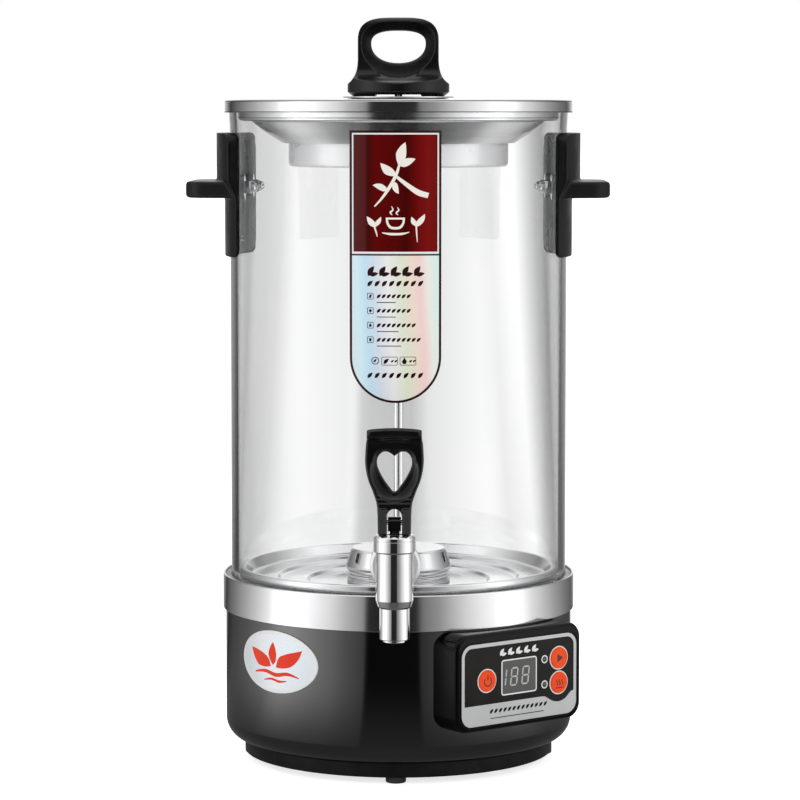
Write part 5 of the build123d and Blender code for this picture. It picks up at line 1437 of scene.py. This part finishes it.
def label_small_print():
    """Small dark marks in rows: leaf pairs, rows of small leaves, thin rules and boxed signs."""
    shapes = leaf_row(5, -17.0, 7.2, 321.9, 7.2, 58.0) + leaf_row(5, -15.8, 7.2, 322.2, 5.4, 14.0)
    shapes += leaf_row(8, -17.4, 4.5, 315.6, 4.8, 44.0)
    for row, (count, sign) in enumerate(zip((7, 7, 8, 9), row_signs)):
        z = 309.4 - 9.05 * row
        shapes.append([round_corners(4.0, 4.0, 0.7, (-15.6, z), 5), round_corners(3.3, 3.3, 0.45, (-15.6, z), 5)])
        shapes.append([shifted(sign, -15.6, z)])
        shapes += leaf_row(count, -11.6, 3.1, z - 1.2, 3.6, 40.0)
        rule = 1.7 * count
        shapes.append([round_corners(rule, 0.5, 0.2, (-11.6 + rule / 2, z - 3.9), 3)])
    for x in (-3.6, 7.8):
        shapes.append([round_corners(10.2, 5.4, 1.0, (x, 269.0), 5), round_corners(9.5, 4.7, 0.7, (x, 269.0), 5)])
    shapes += leaf_row(1, -7.4, 0.0, 267.3, 4.6, 42.0) + leaf_row(2, -2.8, 2.2, 268.2, 2.4, 36.0)
    shapes.append([[(5.6, 271.2), (4.0, 268.8), (4.7, 267.2), (6.5, 267.2), (7.2, 268.8)]])
    shapes += leaf_row(2, 8.6, 2.2, 268.2, 2.4, 36.0)
    shapes.append([disc(2.4, (-12.6, 269.2), 28), disc(1.9, (-12.6, 269.2), 28)])
    return shapes + leaf_row(1, -13.6, 0.0, 268.2, 2.8, 45.0) + leaf_row(8, -17.4, 4.5, 258.4, 4.6, 44.0)


def make_label():
    on_label("label_sheet", [[label_loop(0.0)]], 0, label_rim, low=label_face - 0.3)
    on_label("label_foil_field", [[label_loop(1.5)]], 1, label_foil)
    red_field = box_loop(label_inner - 0.9, 337.0, label_top - 2.5)
    on_label("label_border", [[box_loop(label_inner, 336.0, label_top - 1.5), red_field]], 2, label_line)
    on_label("label_red_field", [[red_field]], 2, label_red)
    on_label("label_split_line", [[box_loop(label_inner, 334.6, 335.6)]], 2, label_rim)
    on_label("label_sprig", [[loop] for loop in label_sprig()] + label_cup(), 3, mark_foil)
    on_label("label_small_marks", label_small_print(), 2, label_rim)


def make_panel_marks():
    """A row of white leaf pairs over the display, and small dark leaves with a rule on the silver strip."""
    pairs = leaf_row(5, -16.2, 6.6, 15.6, 5.4, 54.0) + leaf_row(5, -15.0, 6.6, 15.8, 4.2, 12.0)
    on_panel("panel_leaf_marks", pairs, 0.02, 0.12, panel_white)
    strip = leaf_row(13, -24.5, 3.7, -20.2, 3.9, 40.0) + [[round_corners(44.0, 0.5, 0.2, (-2.0, -23.4), 3)]]
    on_panel("panel_strip_marks", strip, -0.02, 0.06, panel_field)


def make_badge():
    outlook = facing(badge_angle, 0, badge_height)
    sheet = plate([oval(67.0, 40.0, steps=96)], 113.8, badge_face, 0.25)
    set_down("badge_plate", wrapped(sheet, outlook), badge_rim, "badge_silver", "name_badge")
    field = plate([oval(62.4, 35.6, steps=96)], badge_face - 0.05, badge_face + 0.04)
    set_down("badge_field", wrapped(field, outlook), badge_foil, "badge_silver")
    marks = plate([
        leaf(22.0, 9.0, 1.6, -3.4, -3.2, 150.0), leaf(25.0, 9.6, -1.6, 1.0, -3.4, 32.0),
        leaf(15.0, 7.0, 0.8, -1.6, -2.2, 88.0),
        stroke([(-19.0, -8.2), (-9.0, -6.6), (1.0, -8.2), (11.0, -6.8), (20.0, -8.6)], [0.8, 2.2, 2.6, 2.2, 0.6]),
        stroke([(-10.0, -12.4), (-3.0, -11.2), (4.0, -12.2), (10.0, -11.4)], [0.5, 1.5, 1.6, 0.5]),
    ], badge_face, badge_face + 0.08)
    set_down("badge_mark", wrapped(marks, outlook), badge_mark, "badge_silver")


def make_level_marks():
    rules = [round_corners(11.0, 0.5, 0.2, (0.0, -1.4), 3), round_corners(5.0, 0.5, 0.2, (3.0, 1.2), 3)]
    marks = plate(rules + [[(-4.6, 2.4), (-1.8, 2.4), (-3.2, 0.2)]], glass_radius - 0.02, glass_radius + 0.04)
    set_down("glass_level_mark", wrapped(marks, facing(-66.0, 0, 343.0)), level_mark, "clear_glass")


make_label()
make_panel_marks()
make_badge()
make_level_marks()


# Finishes for the pieces kept from the frame

kept_finishes = (
    (satin_black, ["bottom_tray"]),
    (zinc_steel, ["tie_posts", "heater_element", "handle_studs", "tap_spring", "panel_screws"]),
    (cast_aluminium, ["heating_plate"]),
    (component_grey, ["heater_switches", "transformer", "power_relay", "tact_switches"]),
    (small_chrome, ["temperature_probe", "knob_screw", "lever_pin"]), (nylon_white, ["board_standoffs"]),
    (board_green, ["power_board", "control_board"]), (spun_steel, ["basket_screen", "spreader_plate"]),
    # The steel tap stem wears the black lever finish: a painted dark reflection, for chrome that mirrors the dark
    # front.
    (clear_silicone, ["handle_gaskets", "handle_seals", "tap_seals"]), (lever_black, ["tap_stem"]),
    (black_rubber, ["tap_plug"]),
)
for kept_finish, nodes in kept_finishes:
    for node in nodes:
        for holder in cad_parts[node].material_slots:
            holder.material = kept_finish
